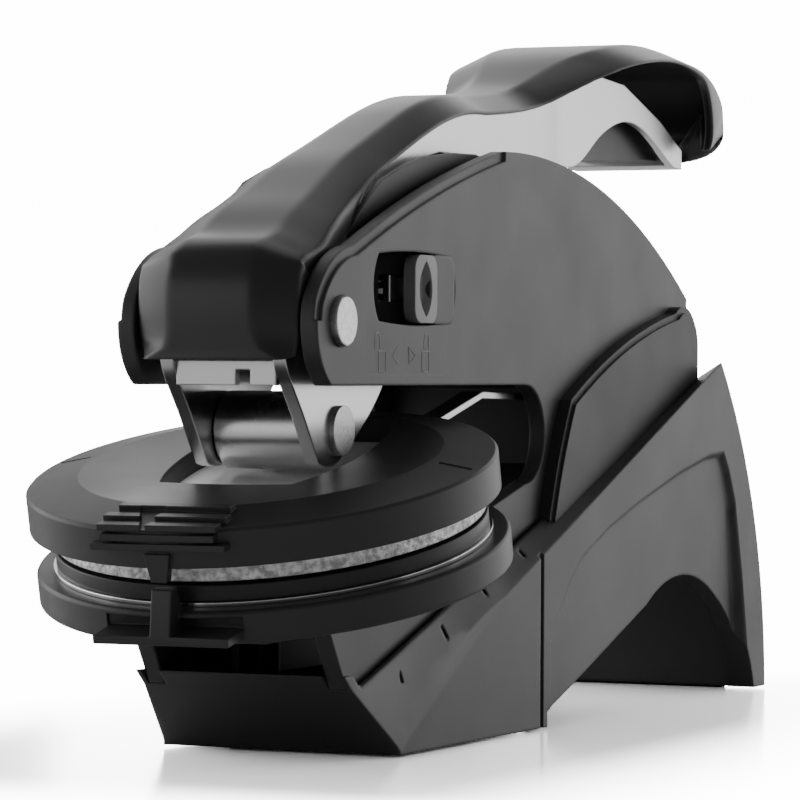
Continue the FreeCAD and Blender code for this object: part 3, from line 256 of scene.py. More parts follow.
# The same resin from a smoother tool, with a slight sheen on the cover that the hand touches
COVER_ABS = Finish("Moulded sheen ABS cover", "262627", 0.33, 0.0, Grain.MOULDED, 0.6, 0.004,
                   shift=0.04, coat=0.2, coat_roughness=0.3, soft_mm=0.7, edge_lift=0.3)
# Matt grain again: the die holder's rings get a soft light along their rounded rims
HOLDER_ABS = Finish("Moulded matt ABS holder", "303031", 0.4, 0.0, Grain.MOULDED, 0.45, 0.012)
# Black resin of the inner pieces, which give hardly any light back
CORE_ABS = Finish("Moulded black ABS core", "1d1d1e", 0.45, 0.0, Grain.MOULDED, 0.6, 0.01)
# Painted shade: matt black that hardly reflects at all, even along the surface, put on faces that lie in
# shade inside the lever's channel and the lock's recess
SHADE_BLACK = Finish("Painted shade black", "0b0b0b", 0.9, 0.0, Grain.MOULDED, 0.5, 0.02, ior=1.15,
                     edge_lift=0.0)
# Grey resin: the knob and the raised signs stand out pale and matt against the plate
KNOB_ABS = Finish("Moulded matt ABS knob", "8a8a8b", 0.42, 0.0, Grain.MOULDED, 0.4, 0.01)
# Phenolic resin turned on a lathe: dark, with fine marks that break up the reflection
COUNTER_PHENOLIC = Finish("Turned dark phenolic counter", "1d1d1e", 0.36, 0.0, Grain.DRAWN_ACROSS, 0.3, 0.006,
                          mottle=0.3)
# Aluminium pressing, tumbled and clear coated: pale, soft reflections with no visible lines
SKIRT_ALUMINIUM = Finish("Pressed satin aluminium", "dcdbdd", 0.3, 0.9, Grain.MOULDED, 0.8, 0.002,
                         shift=0.04, edge_lift=0.1)
# Cold rolled strip steel, blanked: a faint grain one way
STRIP_STEEL = Finish("Rolled strip steel", "cbcbcc", 0.24, 1.0, Grain.ROLLED_LONG, 0.25, 0.004, edge_lift=0.2)
# Strip steel with a white zinc bloom: pale all over, with only a weak mirror
WELL_STEEL = Finish("Zinc plated strip steel", "fafafa", 0.4, 0.2, Grain.ROLLED_LONG, 0.3, 0.003,
                    edge_lift=0.0)
# Bar steel turned and ground: bright bands along the roller
GROUND_STEEL = Finish("Ground bar steel", "dededf", 0.26, 1.0, Grain.DRAWN_ACROSS, 0.22, 0.003, edge_lift=0.2)
# Bar ends faced and blasted: pale discs, matt and finely spotted
PIN_STEEL = Finish("Faced pin steel", "d2d2d2", 0.4, 1.0, Grain.CAST, 0.5, 0.01, shift=0.12, mottle=0.12,
                   edge_lift=0.1)
# Zinc plating over cold-headed steel: cool grey with a mild sheen
SCREW_STEEL = Finish("Zinc plated screw steel", "b9bcc0", 0.32, 1.0, Grain.CAST, 0.4, 0.004, edge_lift=0.2)
# Wire drawn through a die: fine marks and one bright line along each turn
SPRING_STEEL = Finish("Drawn spring steel wire", "a9a9ab", 0.3, 1.0, Grain.DRAWN_ACROSS, 0.2, 0.003,
                      soft_mm=0.05)
# Rolled and polished edge: one sharp bright line round the ring
TRIM_STEEL = Finish("Polished trim steel", "e8e8e9", 0.1, 1.0, Grain.DRAWN_ACROSS, 0.4, 0.002, shift=0.05,
                    soft_mm=0.15)
# Aluminium cast in sand and left raw at its edge: bright, pitted and uneven
CAST_ALUMINIUM = Finish("Raw cast aluminium", "fafafa", 0.4, 0.4, Grain.CAST, 1.1, 0.35, shift=0.12,
                        mottle=0.55, edge_lift=0.1)
# Rubber moulded in a plain tool: dull, with no highlight
PAD_RUBBER = Finish("Moulded soft rubber", "161616", 0.8, 0.0, Grain.MOULDED, 0.7, 0.02)


def eased(share: float) -> float:
    """A soft step: 0 up to 0, 1 from 1 on."""
    share = min(max(share, 0.0), 1.0)
    return share * share * (3 - 2 * share)


def arched(share: float) -> float:
    """A quarter of an ellipse: 0 at 0, upright there, 1 from 1 on."""
    return math.sqrt(1 - (1 - min(max(share, 0.0), 1.0)) ** 2)


@dataclass
class CoverLines:
    """The lever's cover as a rule: one section with broad facets, carried along the crown's line.

    The line runs along the crown from the foot of the hood to the tip of the curled grip.
    """

    facet: float = 6.2 * MM
    facet_share: float = 0.52
    drop: float = 2.6 * MM
    rim: float = 0.4 * MM
    rim_range: tuple[float, float] = (2.8 * MM, 3.2 * MM)
    wall: float = 1.5 * MM
    slab_share: float = 0.6
    foot: float = 5.0 * MM
    hood_half: float = 12.4 * MM
    hood_depth: float = 8.5 * MM
    hood_reach: float = 33.0 * MM
    neck_reach: float = 46.0 * MM
    foot_inset: float = 0.9 * MM
    end_reach: float = 42.0 * MM
    end_facet: float = 1.2 * MM
    end_drop: float = 0.8 * MM
    curl_reach: float = 30.0 * MM
    curl_depth: float = 9.5 * MM
    tip_reach: float = 12.0 * MM
    tip_share: float = 0.3
    sheet: float = 0.9 * MM
    fillet: float = 0.9 * MM
    fillet_steps: int = 3
    step: float = 1.5 * MM
    soften: int = 3
    end_ease: float = 0.7
    curl_ease: float = 0.6
    foot_facet: float = 0.15
    inner_fillet: float = 0.3
    thinnest: float = 0.1 * MM
    seek: tuple[float, float] = (-1.0 * MM, 6.0 * MM)
    side_band: float = 0.4 * MM
    cut: float = 0.3 * MM
    above_floor: float = 0.2 * MM
    front_rise: float = 14.0 * MM
    shoulder_back: float = 4.0 * MM
    shoulder_drop: float = 16.0 * MM
    longest_jump: float = 3.0
    level_gap: float = 1e-9

    def build(self, mesh: bpy.types.Mesh) -> bpy.types.Mesh:
        """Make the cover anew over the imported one.

        Args:
            mesh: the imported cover's mesh, with its triangles joined.

        Returns:
            The new cover's mesh, closed, with its edges rounded.
        """
        line = self.evened(self.crown(mesh))
        place = np.array([tuple(vert.co) for vert in mesh.vertices])
        ahead = np.gradient(line, axis=0)
        ahead /= np.linalg.norm(ahead, axis=1)[:, None]
        outward = np.stack([-ahead[:, 1], ahead[:, 0]], axis=1)
        half, low = self.widths(line, outward, place)
        work = bmesh.new()
        rings = []
        whole = self.step * (len(line) - 1)
        for index, (point, away) in enumerate(zip(line, outward)):
            outline = self.section(half[index], low[index], self.step * index, whole)
            ring = [work.verts.new((reach, point[0] - away[0] * depth, point[1] - away[1] * depth))
                    for reach, depth in outline]
            rings.append(ring)
        for first, second in zip(rings, rings[1:]):
            count = len(first)
            for near in range(count):
                far = (near + 1) % count
                work.faces.new((first[near], first[far], second[far], second[near]))
        work.faces.new(rings[0])
        work.faces.new(rings[-1])
        bmesh.ops.recalc_face_normals(work, faces=work.faces)
        bmesh.ops.triangulate(work, faces=[face for face in work.faces if len(face.verts) > 4])
        made = bpy.data.meshes.new("lever_cover")
        work.to_mesh(made)
        work.free()
        return made

    def section(self, half: float, low: float, reach: float, whole: float) -> list[tuple[float, float]]:
        """Draw the cover's section at one station.

        Args:
            half: half-width there.
            low: depth of the rim there.
            reach: distance of the station along the crown.
            whole: length of the crown.

        Returns:
            Closed outline as (x, depth below the crown), with rounded corners.
        """
        hood = 1 - eased((reach - self.hood_reach) / (self.neck_reach - self.hood_reach))
        late = eased((reach - whole + self.end_reach) / (self.end_ease * self.end_reach))
        half = max(half, self.hood_half) if reach < self.hood_reach / 2 else half
        rim = float(np.clip(low, *self.rim_range))
        deep = rim + (self.hood_depth - rim) * hood
        foot, tip = arched(reach / self.foot), arched((whole - reach) / self.tip_reach)
        curl = eased((reach - whole + self.curl_reach) / (self.curl_ease * self.curl_reach)) * tip
        deep += (self.curl_depth - deep) * curl
        half -= self.foot_inset * (1 - foot)
        half *= 1 - self.tip_share * (1 - tip)
        facet = min(self.facet, half * self.facet_share) * (self.foot_facet + (1 - self.foot_facet) * foot)
        facet += (self.end_facet - facet) * late
        drop = min(self.drop, deep - self.rim)
        drop += (self.end_drop - drop) * late
        wall, soft = self.wall, self.fillet
        outside = drop * max(1 - wall / facet, 0.0)
        slab = min(max(self.slab_share * rim, outside + self.sheet), deep - self.thinnest)
        corners = [
            (half - facet, 0.0, soft), (half, drop, soft),
            (half, deep, min(soft, CORNER_SHARE * (deep - drop))),
            (half - wall, deep, self.inner_fillet * soft), (half - wall, slab, self.inner_fillet * soft),
        ]
        mirrored = [(-x, depth, radius) for x, depth, radius in reversed(corners)]
        return self.rounded(corners + mirrored)

    def rounded(self, corners: list[tuple[float, float, float]]) -> list[tuple[float, float]]:
        """Round each corner of a closed outline.

        Args:
            corners: (x, depth, length cut from each side of the corner).

        Returns:
            The outline's points, the same number for each corner.
        """
        points = []
        for index, (x, depth, cut) in enumerate(corners):
            here = np.array([x, depth])
            before = np.array(corners[index - 1][:2])
            after = np.array(corners[(index + 1) % len(corners)][:2])
            back, ahead = before - here, after - here
            reach = min(cut, CORNER_SHARE * np.linalg.norm(back), CORNER_SHARE * np.linalg.norm(ahead))
            start = here + back / np.linalg.norm(back) * reach
            end = here + ahead / np.linalg.norm(ahead) * reach
            for part in range(self.fillet_steps + 1):
                share = part / self.fillet_steps
                point = (1 - share) ** 2 * start + 2 * share * (1 - share) * here + share ** 2 * end
                points.append((float(point[0]), float(point[1])))
        return points

    def evened(self, line: np.ndarray) -> np.ndarray:
        """Space the middle line evenly and take out the steps of the mesh it was read from.

        Args:
            line: points (y, z).

        Returns:
            Evenly spaced points.
        """
        reach = np.concatenate([[0.0], np.cumsum(np.linalg.norm(np.diff(line, axis=0), axis=1))])
        spaced = np.arange(0.0, reach[-1], self.step)
        even = np.stack([np.interp(spaced, reach, line[:, axis]) for axis in (0, 1)], axis=1)
        kernel = np.ones(self.soften) / self.soften
        edge = self.soften // 2
        smooth = even.copy()
        for axis in (0, 1):
            smooth[edge:-edge, axis] = np.convolve(even[:, axis], kernel, mode="valid")
        return smooth

    def widths(self, line: np.ndarray, outward: np.ndarray,
               place: np.ndarray) -> tuple[np.ndarray, np.ndarray]:
        """Read the cover's half-width and the depth of its rim along the middle line.

        Args:
            line: points (y, z) of the middle line.
            outward: outward directions there.
            place: the cover's points (x, y, z).

        Returns:
            Half-width and rim depth at each point of the line.
        """
        known, wide, deep = [], [], []
        for index, (point, away) in enumerate(zip(line, outward)):
            offset = place[:, 1:3] - point
            depth = -(offset @ away)
            along = offset @ np.array([away[1], -away[0]])
            near = (np.abs(along) < 2 * self.step) & (depth < self.seek[1]) & (depth > self.seek[0])
            if near.any():
                widest = np.abs(place[near, 0]).max()
                side = near & (np.abs(place[:, 0]) > widest - self.side_band)
                known.append(index)
                wide.append(widest)
                deep.append(depth[side].max())
        every = np.arange(len(line))
        kernel = np.ones(self.soften) / self.soften
        smooth = []
        for values in (wide, deep):
            full = np.pad(np.interp(every, known, values), self.soften // 2, mode="edge")
            smooth.append(np.convolve(full, kernel, mode="valid"))
        return smooth[0], smooth[1]

    def crown(self, mesh: bpy.types.Mesh) -> np.ndarray:
        """Follow the cover's middle line from the foot of its front over the top to its curled end.

        Args:
            mesh: the cover's merged mesh.

        Returns:
            Points (y, z) of the line, in metres.
        """
        runs = []
        for face in mesh.polygons:
            corners = [mesh.vertices[index].co for index in face.vertices]
            hits = []
            for start, end in zip(corners, corners[1:] + corners[:1]):
                if (start.x - self.cut) * (end.x - self.cut) < 0:
                    point = start.lerp(end, (self.cut - start.x) / (end.x - start.x))
                    hits.append((point.y, point.z))
            if len(hits) == 2:
                runs.append(hits)
        runs = np.array(runs)
        low, high = runs[..., 0].min(), runs[..., 0].max()
        floor, top = runs[..., 1].min(), runs[..., 1].max()
        levels = np.arange(floor + self.above_floor, floor + self.front_rise, self.step)
        line = [(self.outermost(runs, 1, level, -1), level) for level in levels]
        places = np.arange(line[-1][0] + self.step, high - self.shoulder_back, self.step)
        line += [(place, self.outermost(runs, 0, place, 1)) for place in places]
        shoulder = line[-1][1]
        for level in np.arange(shoulder - self.step, shoulder - self.shoulder_drop, -self.step):
            place = self.outermost(runs, 1, level, 1)
            if place < line[-1][0] - self.longest_jump * self.step:
                break
            line.append((place, level))
        LOG.info("cover line: %d points, y %.1f to %.1f mm, z %.1f to %.1f mm",
                 len(line), low / MM, high / MM, floor / MM, top / MM)
        return np.array(line)

    def outermost(self, runs: np.ndarray, axis: int, level: float, sign: int) -> float:
        """Find the outermost crossing of the cut's segments with a level.

        Args:
            runs: segments as pairs of (y, z).
            axis: the coordinate that the level is on, 0 for y and 1 for z.
            level: the level.
            sign: 1 for the highest value of the other coordinate, -1 for the lowest.

        Returns:
            The other coordinate there.
        """
        start, end = runs[:, 0], runs[:, 1]
        crosses = (start[:, axis] - level) * (end[:, axis] - level) <= 0
        start, end = start[crosses], end[crosses]
        gap = end[:, axis] - start[:, axis]
        level_with = np.abs(gap) <= self.level_gap
        share = np.where(level_with, 0.5, (level - start[:, axis]) / np.where(level_with, 1.0, gap))
        other = start[:, 1 - axis] + share * (end[:, 1 - axis] - start[:, 1 - axis])
        return float(other.max() if sign > 0 else other.min())


# Turn from which an edge is real, on most pieces
SHARP_DEGREES = 30.0
# The same on a lofted form, for edges that run along it
FACET_DEGREES = 14.0
# The same for the joints between its stations, which run across it
STATION_DEGREES = 50.0
# Share of an edge's length in x from which it counts as running across
STATION_LEAN = 0.55
# Points nearer than this are one point, and faces that turn less than this are one face
SAME_POINT = 0.000002
SAME_FACE_DEGREES = 0.4


class Rounding(Enum):
    """How a copied piece gets its fine edges."""

    CUT = "a bevel in the mesh"
    SHADED = "the finish's softened normal alone"
    LOFTED = "softened normal, and smooth across the stations of a lofted form"


def smooth_copy(frame: dict[str, Any], node: str, edge_mm: float, segments: int,
                rounding: Rounding = Rounding.CUT, sharp: float = SHARP_DEGREES) -> bpy.types.Object:
    """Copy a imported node's mesh, join its loose triangles and round its edges finely.

    Args:
        frame: the loaded frame.
        node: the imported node.
        edge_mm: width of the rounding.
        segments: segments of the rounding.
        rounding: how the edges are rounded.
        sharp: turn in degrees from which an edge is kept in the shading.

    Returns:
        The new object, at the origin, in the node's place.
    """
    mesh = frame["nodes"][node].data.copy()
    work = bmesh.new()
    work.from_mesh(mesh)
    bmesh.ops.remove_doubles(work, verts=work.verts, dist=SAME_POINT)
    if rounding is not Rounding.LOFTED:
        bmesh.ops.dissolve_limit(work, angle_limit=math.radians(SAME_FACE_DEGREES), verts=work.verts,
                                 edges=work.edges)
    work.to_mesh(mesh)
    work.free()
    mesh.materials.clear()
    shade(mesh, rounding, sharp)
    piece = bpy.data.objects.new(node + "_dressed", mesh)
    bpy.context.scene.collection.objects.link(piece)
    if edge_mm > 0 and rounding is Rounding.CUT:
        bevel = piece.modifiers.new("Edge", "BEVEL")
        bevel.limit_method = "ANGLE"
        bevel.angle_limit = math.radians(SHARP_DEGREES)
        bevel.width = edge_mm * MM
        bevel.segments = segments
        bevel.use_clamp_overlap = True
        bevel.harden_normals = True
    return piece


def shade(mesh: bpy.types.Mesh, rounding: Rounding, sharp: float = SHARP_DEGREES) -> None:
    """Shade a mesh smooth, with its real edges kept.

    Args:
        mesh: the mesh.
        rounding: how the piece's edges are rounded.
        sharp: turn in degrees from which an edge is kept, except on a lofted form.
    """
    work = bmesh.new()
    work.from_mesh(mesh)
    for face in work.faces:
        face.smooth = True
    for edge in work.edges:
        edge.smooth = not is_sharp(edge, rounding, sharp)
    work.to_mesh(mesh)
    work.free()


def is_sharp(edge: bmesh.types.BMEdge, rounding: Rounding, sharp: float) -> bool:
    """Tell a real edge of a copied mesh from the joints of its facets.

    Args:
        edge: the edge.
        rounding: how the piece's edges are rounded. On a lofted form the joints between stations run
            across the lever, and its facets' edges run along it.
        sharp: turn in degrees from which an edge is real, except on a lofted form.

    Returns:
        True where the surface really turns.
    """
    if len(edge.link_faces) != 2:
        return True
    turn = math.degrees(edge.calc_face_angle(0.0))
    if rounding is not Rounding.LOFTED:
        return turn > sharp
    run = edge.verts[1].co - edge.verts[0].co
    across = abs(run.x) > STATION_LEAN * run.length
    return turn > (STATION_DEGREES if across else FACET_DEGREES)


def plain(piece: bpy.types.Object) -> bpy.types.Object:
    """Turn an object with modifiers into one plain mesh.

    Args:
        piece: the object.

    Returns:
        The same object, with its evaluated mesh and no modifiers.
    """
    bpy.context.view_layer.update()
    graph = bpy.context.evaluated_depsgraph_get()
    mesh = bpy.data.meshes.new_from_object(piece.evaluated_get(graph))
    piece.modifiers.clear()
    piece.data = mesh
    return piece


@dataclass
class SubAssembly:
    """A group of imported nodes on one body, each with its finish and edge size."""

    frame: dict[str, Any]
    body: str
    slots: dict[str, str]
    made: list[str] = field(default_factory=list)

    def dress(self, node: str, finish: Finish, edge_mm: float = 0.25, segments: int = 2,
              rounding: Rounding = Rounding.CUT, sharp: float = SHARP_DEGREES) -> bpy.types.Object:
        """Replace a node by its finely edged copy in its finish.

        Args:
            node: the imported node.
            finish: its finish.
            edge_mm: width of its edges' rounding.
            segments: segments of the rounding.
            rounding: how the edges are rounded.
            sharp: turn in degrees from which an edge is kept in the shading.

        Returns:
            The dressed piece.
        """
        piece = plain(smooth_copy(self.frame, node, edge_mm, segments, rounding, sharp))
        piece.data.materials.clear()
        piece.data.materials.append(material_of(finish))
        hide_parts(node)
        self.seat(piece, self.slots[node])
        return piece

    def seat(self, piece: bpy.types.Object, slot: str) -> None:
        """Let a finished piece ride on this body and list it among the body's pieces.

        Args:
            piece: the piece.
            slot: the record's material slot; not used.
        """
        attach(piece, self.body)
        self.made.append(piece.name)
        LOG.info("%s: %s, %d faces", self.body, piece.name, len(piece.data.polygons))


def object_of(name: str, mesh: bpy.types.Mesh, finish: Finish) -> bpy.types.Object:
    """Link a new object at the origin with its mesh and finish."""
    mesh.materials.append(material_of(finish))
    piece = bpy.data.objects.new(name, mesh)
    bpy.context.scene.collection.objects.link(piece)
    return piece


def stacked(name: str, rings: list[list[tuple[float, float, float]]]) -> bpy.types.Mesh:
    """Join rings of points, all of one count, to a closed solid with a cap at each end.

    Args:
        name: the mesh's name.
        rings: the rings in order.

    Returns:
        The mesh, its faces outward, its sharp edges kept.
    """
    work = bmesh.new()
    rows = [[work.verts.new(point) for point in ring] for ring in rings]
    for first, second in zip(rows, rows[1:]):
        for near in range(len(first)):
            far = (near + 1) % len(first)
            work.faces.new((first[near], first[far], second[far], second[near]))
    work.faces.new(rows[0])
    work.faces.new(rows[-1])
    bmesh.ops.recalc_face_normals(work, faces=work.faces)
    mesh = bpy.data.meshes.new(name)
    work.to_mesh(mesh)
    work.free()
    shade(mesh, Rounding.SHADED)
    return mesh


@dataclass
class ShadeWallLines:
    """A black wall inside the lever beside the silver channel: a dark sheet that paints the shade seen
    between cover and plate.

    Its outline (y, z) is in millimetres.
    """

    inner: float = 10.2 * MM
    outer: float = 11.0 * MM
    top: tuple[tuple[float, float], ...] = (
        (-56.5, 72.6), (-53.0, 75.6), (-49.2, 78.2), (-44.8, 80.8), (-37.9, 82.9), (-30.0, 84.7),
        (-19.5, 85.8), (-11.0, 86.0), (-3.0, 84.6),
    )
    foot: float = 72.0

    def build(self, side: int) -> bpy.types.Mesh:
        """Make the wall of one side: 1 for the right, -1 for the left."""
        outline = [*self.top, (self.top[-1][0], self.foot), (self.top[0][0], self.foot)]
        rings = [[(side * reach, y * MM, z * MM) for y, z in outline] for reach in (self.inner, self.outer)]
        return stacked("lever_shade_wall", rings)


@dataclass
class KnobForm:
    """The lock's knob: a block with full corners, an eye-shaped hollow and a face that runs out flush.

    The apron behind it slides in the recess and is flush with the plate.
    """

    count: int = 64
    corner: float = 2.2 * MM
    eye: tuple[float, float] = (2.5 * MM, 4.05 * MM)
    eye_place: float = 0.35 * MM
    eye_depth: float = 1.35 * MM
    eye_narrow: float = 0.8
    block_foot: float = 13.75 * MM
    stem: tuple[float, float] = (2.0 * MM, 1.8 * MM)
    stem_corner: float = 0.5 * MM
    flush: float = 15.24 * MM
    apron_rear: float = -28.7 * MM
    apron_front: float = -37.5 * MM
    apron_half: float = 4.95 * MM

    def rounded(self, half_y: float, half_z: float, corner: float) -> list[tuple[float, float]]:
        """A rounded rectangle about the origin, as evenly turned points."""
        points = []
        for index in range(self.count):
            turn = 2 * math.pi * (index + 0.5) / self.count
            across, up = math.cos(turn), math.sin(turn)
            points.append((math.copysign(half_y - corner, across) + corner * across,
                           math.copysign(half_z - corner, up) + corner * up))
        return points

    def lens(self, grow: float) -> list[tuple[float, float]]:
        """The eye's outline, two arcs that meet at the top and the bottom."""
        points = []
        for index in range(self.count):
            turn = 2 * math.pi * (index + 0.5) / self.count
            up = math.sin(turn)
            out = math.copysign(self.eye[0] * grow * (1 - up * up), math.cos(turn))
            points.append((out, self.eye[1] * grow * up))
        return points

    def knob(self, low: Vector, high: Vector) -> bpy.types.Mesh:
        """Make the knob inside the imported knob's box.

        Args:
            low: the box's low corner.
            high: its high corner.

        Returns:
            The knob's mesh.
        """
        mid_y, mid_z = (low.y + high.y) / 2, (low.z + high.z) / 2
        half_y, half_z = (high.y - low.y) / 2, (high.z - low.z) / 2
        rim = self.rounded(half_y, half_z, self.corner)
        stem = self.rounded(*self.stem, self.stem_corner)

        def face(y: float) -> float:
            """Height of the knob's face, which runs out flush behind the eye."""
            return high.x - (high.x - self.flush) * eased((y - mid_y) / half_y)

        eye_y = mid_y - self.eye_place
        rings = [
            [(low.x, mid_y + y, mid_z + z) for y, z in stem],
            [(self.block_foot, mid_y + y, mid_z + z) for y, z in stem],
            [(self.block_foot, mid_y + y, mid_z + z) for y, z in rim],
            [(face(mid_y + y), mid_y + y, mid_z + z) for y, z in rim],
            [(face(eye_y + y), eye_y + y, mid_z + z) for y, z in self.lens(1.0)],
            [(high.x - self.eye_depth, eye_y + y, mid_z + z) for y, z in self.lens(self.eye_narrow)],
        ]
        return stacked("lock_knob_form", rings)

    def apron(self, low: Vector, high: Vector) -> bpy.types.Mesh:
        """Make the flush apron behind the knob, from the knob's box."""
        mid_y, mid_z = (self.apron_rear + self.apron_front) / 2, (low.z + high.z) / 2
        outline = self.rounded((self.apron_rear - self.apron_front) / 2, self.apron_half, self.corner)
        rings = [[(reach, mid_y + y, mid_z + z) for y, z in outline]
                 for reach in (self.block_foot, self.flush)]
        return stacked("lock_apron", rings)


@dataclass
class SideScoop:
    """The shallow scoop in the base's outer side, which deepens towards the rear leg.

    Its sizes are in millimetres, and its border is drawn as (y, z) from the front to the leg's foot.
    """

    border: tuple[tuple[float, float], ...] = (
        (-0.9, 13.4), (5.1, 20.7), (11.2, 25.7), (22.6, 30.0), (34.8, 33.5), (53.0, 37.9), (66.0, 40.3),
        (72.7, 40.7), (75.4, 37.5), (78.3, 32.4), (82.0, 19.2), (84.8, 6.0), (85.6, 0.0),
    )
    side_at_zero: float = 19.35
    side_lean: float = 0.01557
    depth: tuple[float, float] = (0.2, 2.0)
    deepest: tuple[float, float] = (84.0, 40.0)
    high_share: float = 0.4
    wall: tuple[float, float] = (0.7, 2.0)
    columns: int = 70
    rows: int = 34
    floor: float = -2.0
    beyond: float = 2.0
    turn_down: int = 7
    crowding: float = 2.6
    skin_share: float = 0.02

    def build(self, side: int) -> bpy.types.Mesh:
        """Make the cutter of one side: 1 for the right, -1 for the left."""
        known = np.array(self.border)
        front, turn, rear = known[0, 0], known[self.turn_down, 0], known[-1, 0]
        reach = np.unique(np.concatenate([
            np.linspace(front, turn, self.columns), np.linspace(turn, rear, self.columns)]))
        top = np.interp(reach, known[:, 0], known[:, 1])
        slope = np.gradient(top, reach)
        work = bmesh.new()
        sheets = []
        for outer in (True, False):
            sheet = []
            for y, high, lean in zip(reach, top, slope):
                column = []
                for row in range(self.rows):
                    share = 1 - (1 - row / (self.rows - 1)) ** self.crowding
                    z = self.floor + (high - self.floor) * share
                    skin = self.side_at_zero + self.side_lean * y
                    away = (high - z) / math.hypot(1.0, lean)
                    low = eased(1 - z / self.deepest[1])
                    grown = eased(y / self.deepest[0]) * (self.high_share + (1 - self.high_share) * low)
                    rise = self.depth[0] + (self.depth[1] - self.depth[0]) * grown
                    wall = self.wall[0] + (self.wall[1] - self.wall[0]) * grown
                    sunk = self.skin_share + (1 - self.skin_share) * eased(away / wall)
                    x = skin + self.beyond if outer else skin - rise * sunk
                    column.append(work.verts.new((side * x * MM, y * MM, z * MM)))
                sheet.append(column)
            sheets.append(sheet)
        for sheet in sheets:
            for first, second in zip(sheet, sheet[1:]):
                for row in range(self.rows - 1):
                    work.faces.new((first[row], first[row + 1], second[row + 1], second[row]))
        outside, inside = sheets
        for near in range(len(reach) - 1):
            for row in (0, self.rows - 1):
                work.faces.new((outside[near][row], outside[near + 1][row],
                                inside[near + 1][row], inside[near][row]))
        for column in (0, len(reach) - 1):
            for row in range(self.rows - 1):
                work.faces.new((outside[column][row], outside[column][row + 1],
                                inside[column][row + 1], inside[column][row]))
        bmesh.ops.recalc_face_normals(work, faces=work.faces)
        mesh = bpy.data.meshes.new("side_scoop")
        work.to_mesh(mesh)
        work.free()
        return mesh


def carved(piece: bpy.types.Object, cutters: list[bpy.types.Mesh]) -> bpy.types.Object:
    """Cut solids away from a piece and leave one plain mesh.

    Args:
        piece: the piece.
        cutters: the solids' meshes.

    Returns:
        The same object.
    """
    for index, mesh in enumerate(cutters):
        tool = bpy.data.objects.new("cutter", mesh)
        bpy.context.scene.collection.objects.link(tool)
        cut = piece.modifiers.new("Cut %d" % index, "BOOLEAN")
        cut.operation = "DIFFERENCE"
        cut.solver = "EXACT"
        cut.object = tool
        plain(piece)
        bpy.data.objects.remove(tool)
    return piece


def refaced(piece: bpy.types.Object, finish: Finish, chosen: Callable[[Vector, Vector], bool]) -> None:
    """Give the faces of a piece that pass a test a second finish.

    Args:
        piece: the piece.
        finish: the second finish.
        chosen: test of a face's middle and its normal.
    """
    piece.data.materials.append(material_of(finish))
    last = len(piece.data.materials) - 1
    for polygon in piece.data.polygons:
        if chosen(polygon.center, polygon.normal):
            polygon.material_index = last


RECESS_LOW = (12.7 * MM, -57.2 * MM, 59.9 * MM)
RECESS_HIGH = (15.1 * MM, -28.1 * MM, 70.9 * MM)
CHANNEL_HALF = 9.3 * MM
SIDEWAYS = 0.8


def in_recess(middle: Vector, _normal: Vector) -> bool:
    """Tell the faces of the lock's recess in the right-hand plate, which are painted black as shade."""
    return all(low < place < high for low, place, high in zip(RECESS_LOW, middle, RECESS_HIGH))


def faces_inward(middle: Vector, normal: Vector) -> bool:
    """Tell the faces inside the lever's channel, which are painted black as shade."""
    return abs(middle.x) < CHANNEL_HALF and normal.x * middle.x < 0 and abs(normal.x) > SIDEWAYS


MATERIALS: dict[str, bpy.types.Material] = {}


def material_of(finish: Finish) -> bpy.types.Material:
    """The one material of a finish, made when it is first asked for."""
    if finish.name not in MATERIALS:
        MATERIALS[finish.name] = finish.build()
    return MATERIALS[finish.name]


def solid_from_tree(name: str, tree: bpy.types.GeometryNodeTree, inputs: dict[str, Any],
                    points: list[tuple[float, float, float]] | None = None,
                    edges: list[tuple[int, int]] | None = None) -> bpy.types.Object:
    """Run a Geometry Nodes tree on points, or on nothing, and keep its result as a plain mesh.

    Args:
        name: the piece's name.
        tree: the tree.
        inputs: values by the name of the tree's input.
        points: places that the tree works on.
        edges: lines between them.

    Returns:
        The new object, at the origin.
    """
    start = bpy.data.meshes.new(name)
    start.from_pydata(points or [], edges or [], [])
    piece = bpy.data.objects.new(name, start)
    bpy.context.scene.collection.objects.link(piece)
    modifier = piece.modifiers.new("Nodes", "NODES")
    modifier.node_group = tree
    for item in tree.interface.items_tree:
        if item.item_type == "SOCKET" and item.in_out == "INPUT" and item.name in inputs:
            modifier[item.identifier] = inputs[item.name]
    return plain(piece)


def new_tree(name: str, inputs: dict[str, tuple[str, Any]]) -> tuple[Any, Any, Any]:
    """Start a Geometry Nodes tree with named inputs.

    Args:
        name: the tree's name.
        inputs: socket type and default by name.

    Returns:
        The tree, its input node and its output node.
    """
    tree = bpy.data.node_groups.new(name, "GeometryNodeTree")
    tree.interface.new_socket("Geometry", in_out="INPUT", socket_type="NodeSocketGeometry")
    tree.interface.new_socket("Geometry", in_out="OUTPUT", socket_type="NodeSocketGeometry")
    for label, (kind, value) in inputs.items():
        socket = tree.interface.new_socket(label, in_out="INPUT", socket_type=kind)
        if value is not None:
            socket.default_value = value
    return tree, tree.nodes.new("NodeGroupInput"), tree.nodes.new("NodeGroupOutput")


def close_tree(tree: Any, geometry: Any, given: Any, result: Any) -> None:
    """End a tree with its geometry made real and in its finish.

    Args:
        tree: the tree.
        geometry: the socket of what was made.
        given: the tree's input node, with an input named Finish.
        result: the tree's output node.
    """
    real = add(tree, "GeometryNodeRealizeInstances", links={"Geometry": geometry})
    painted = add(tree, "GeometryNodeSetMaterial", links={
        "Geometry": real.outputs["Geometry"], "Material": given.outputs["Finish"]})
    tree.links.new(painted.outputs["Geometry"], result.inputs["Geometry"])


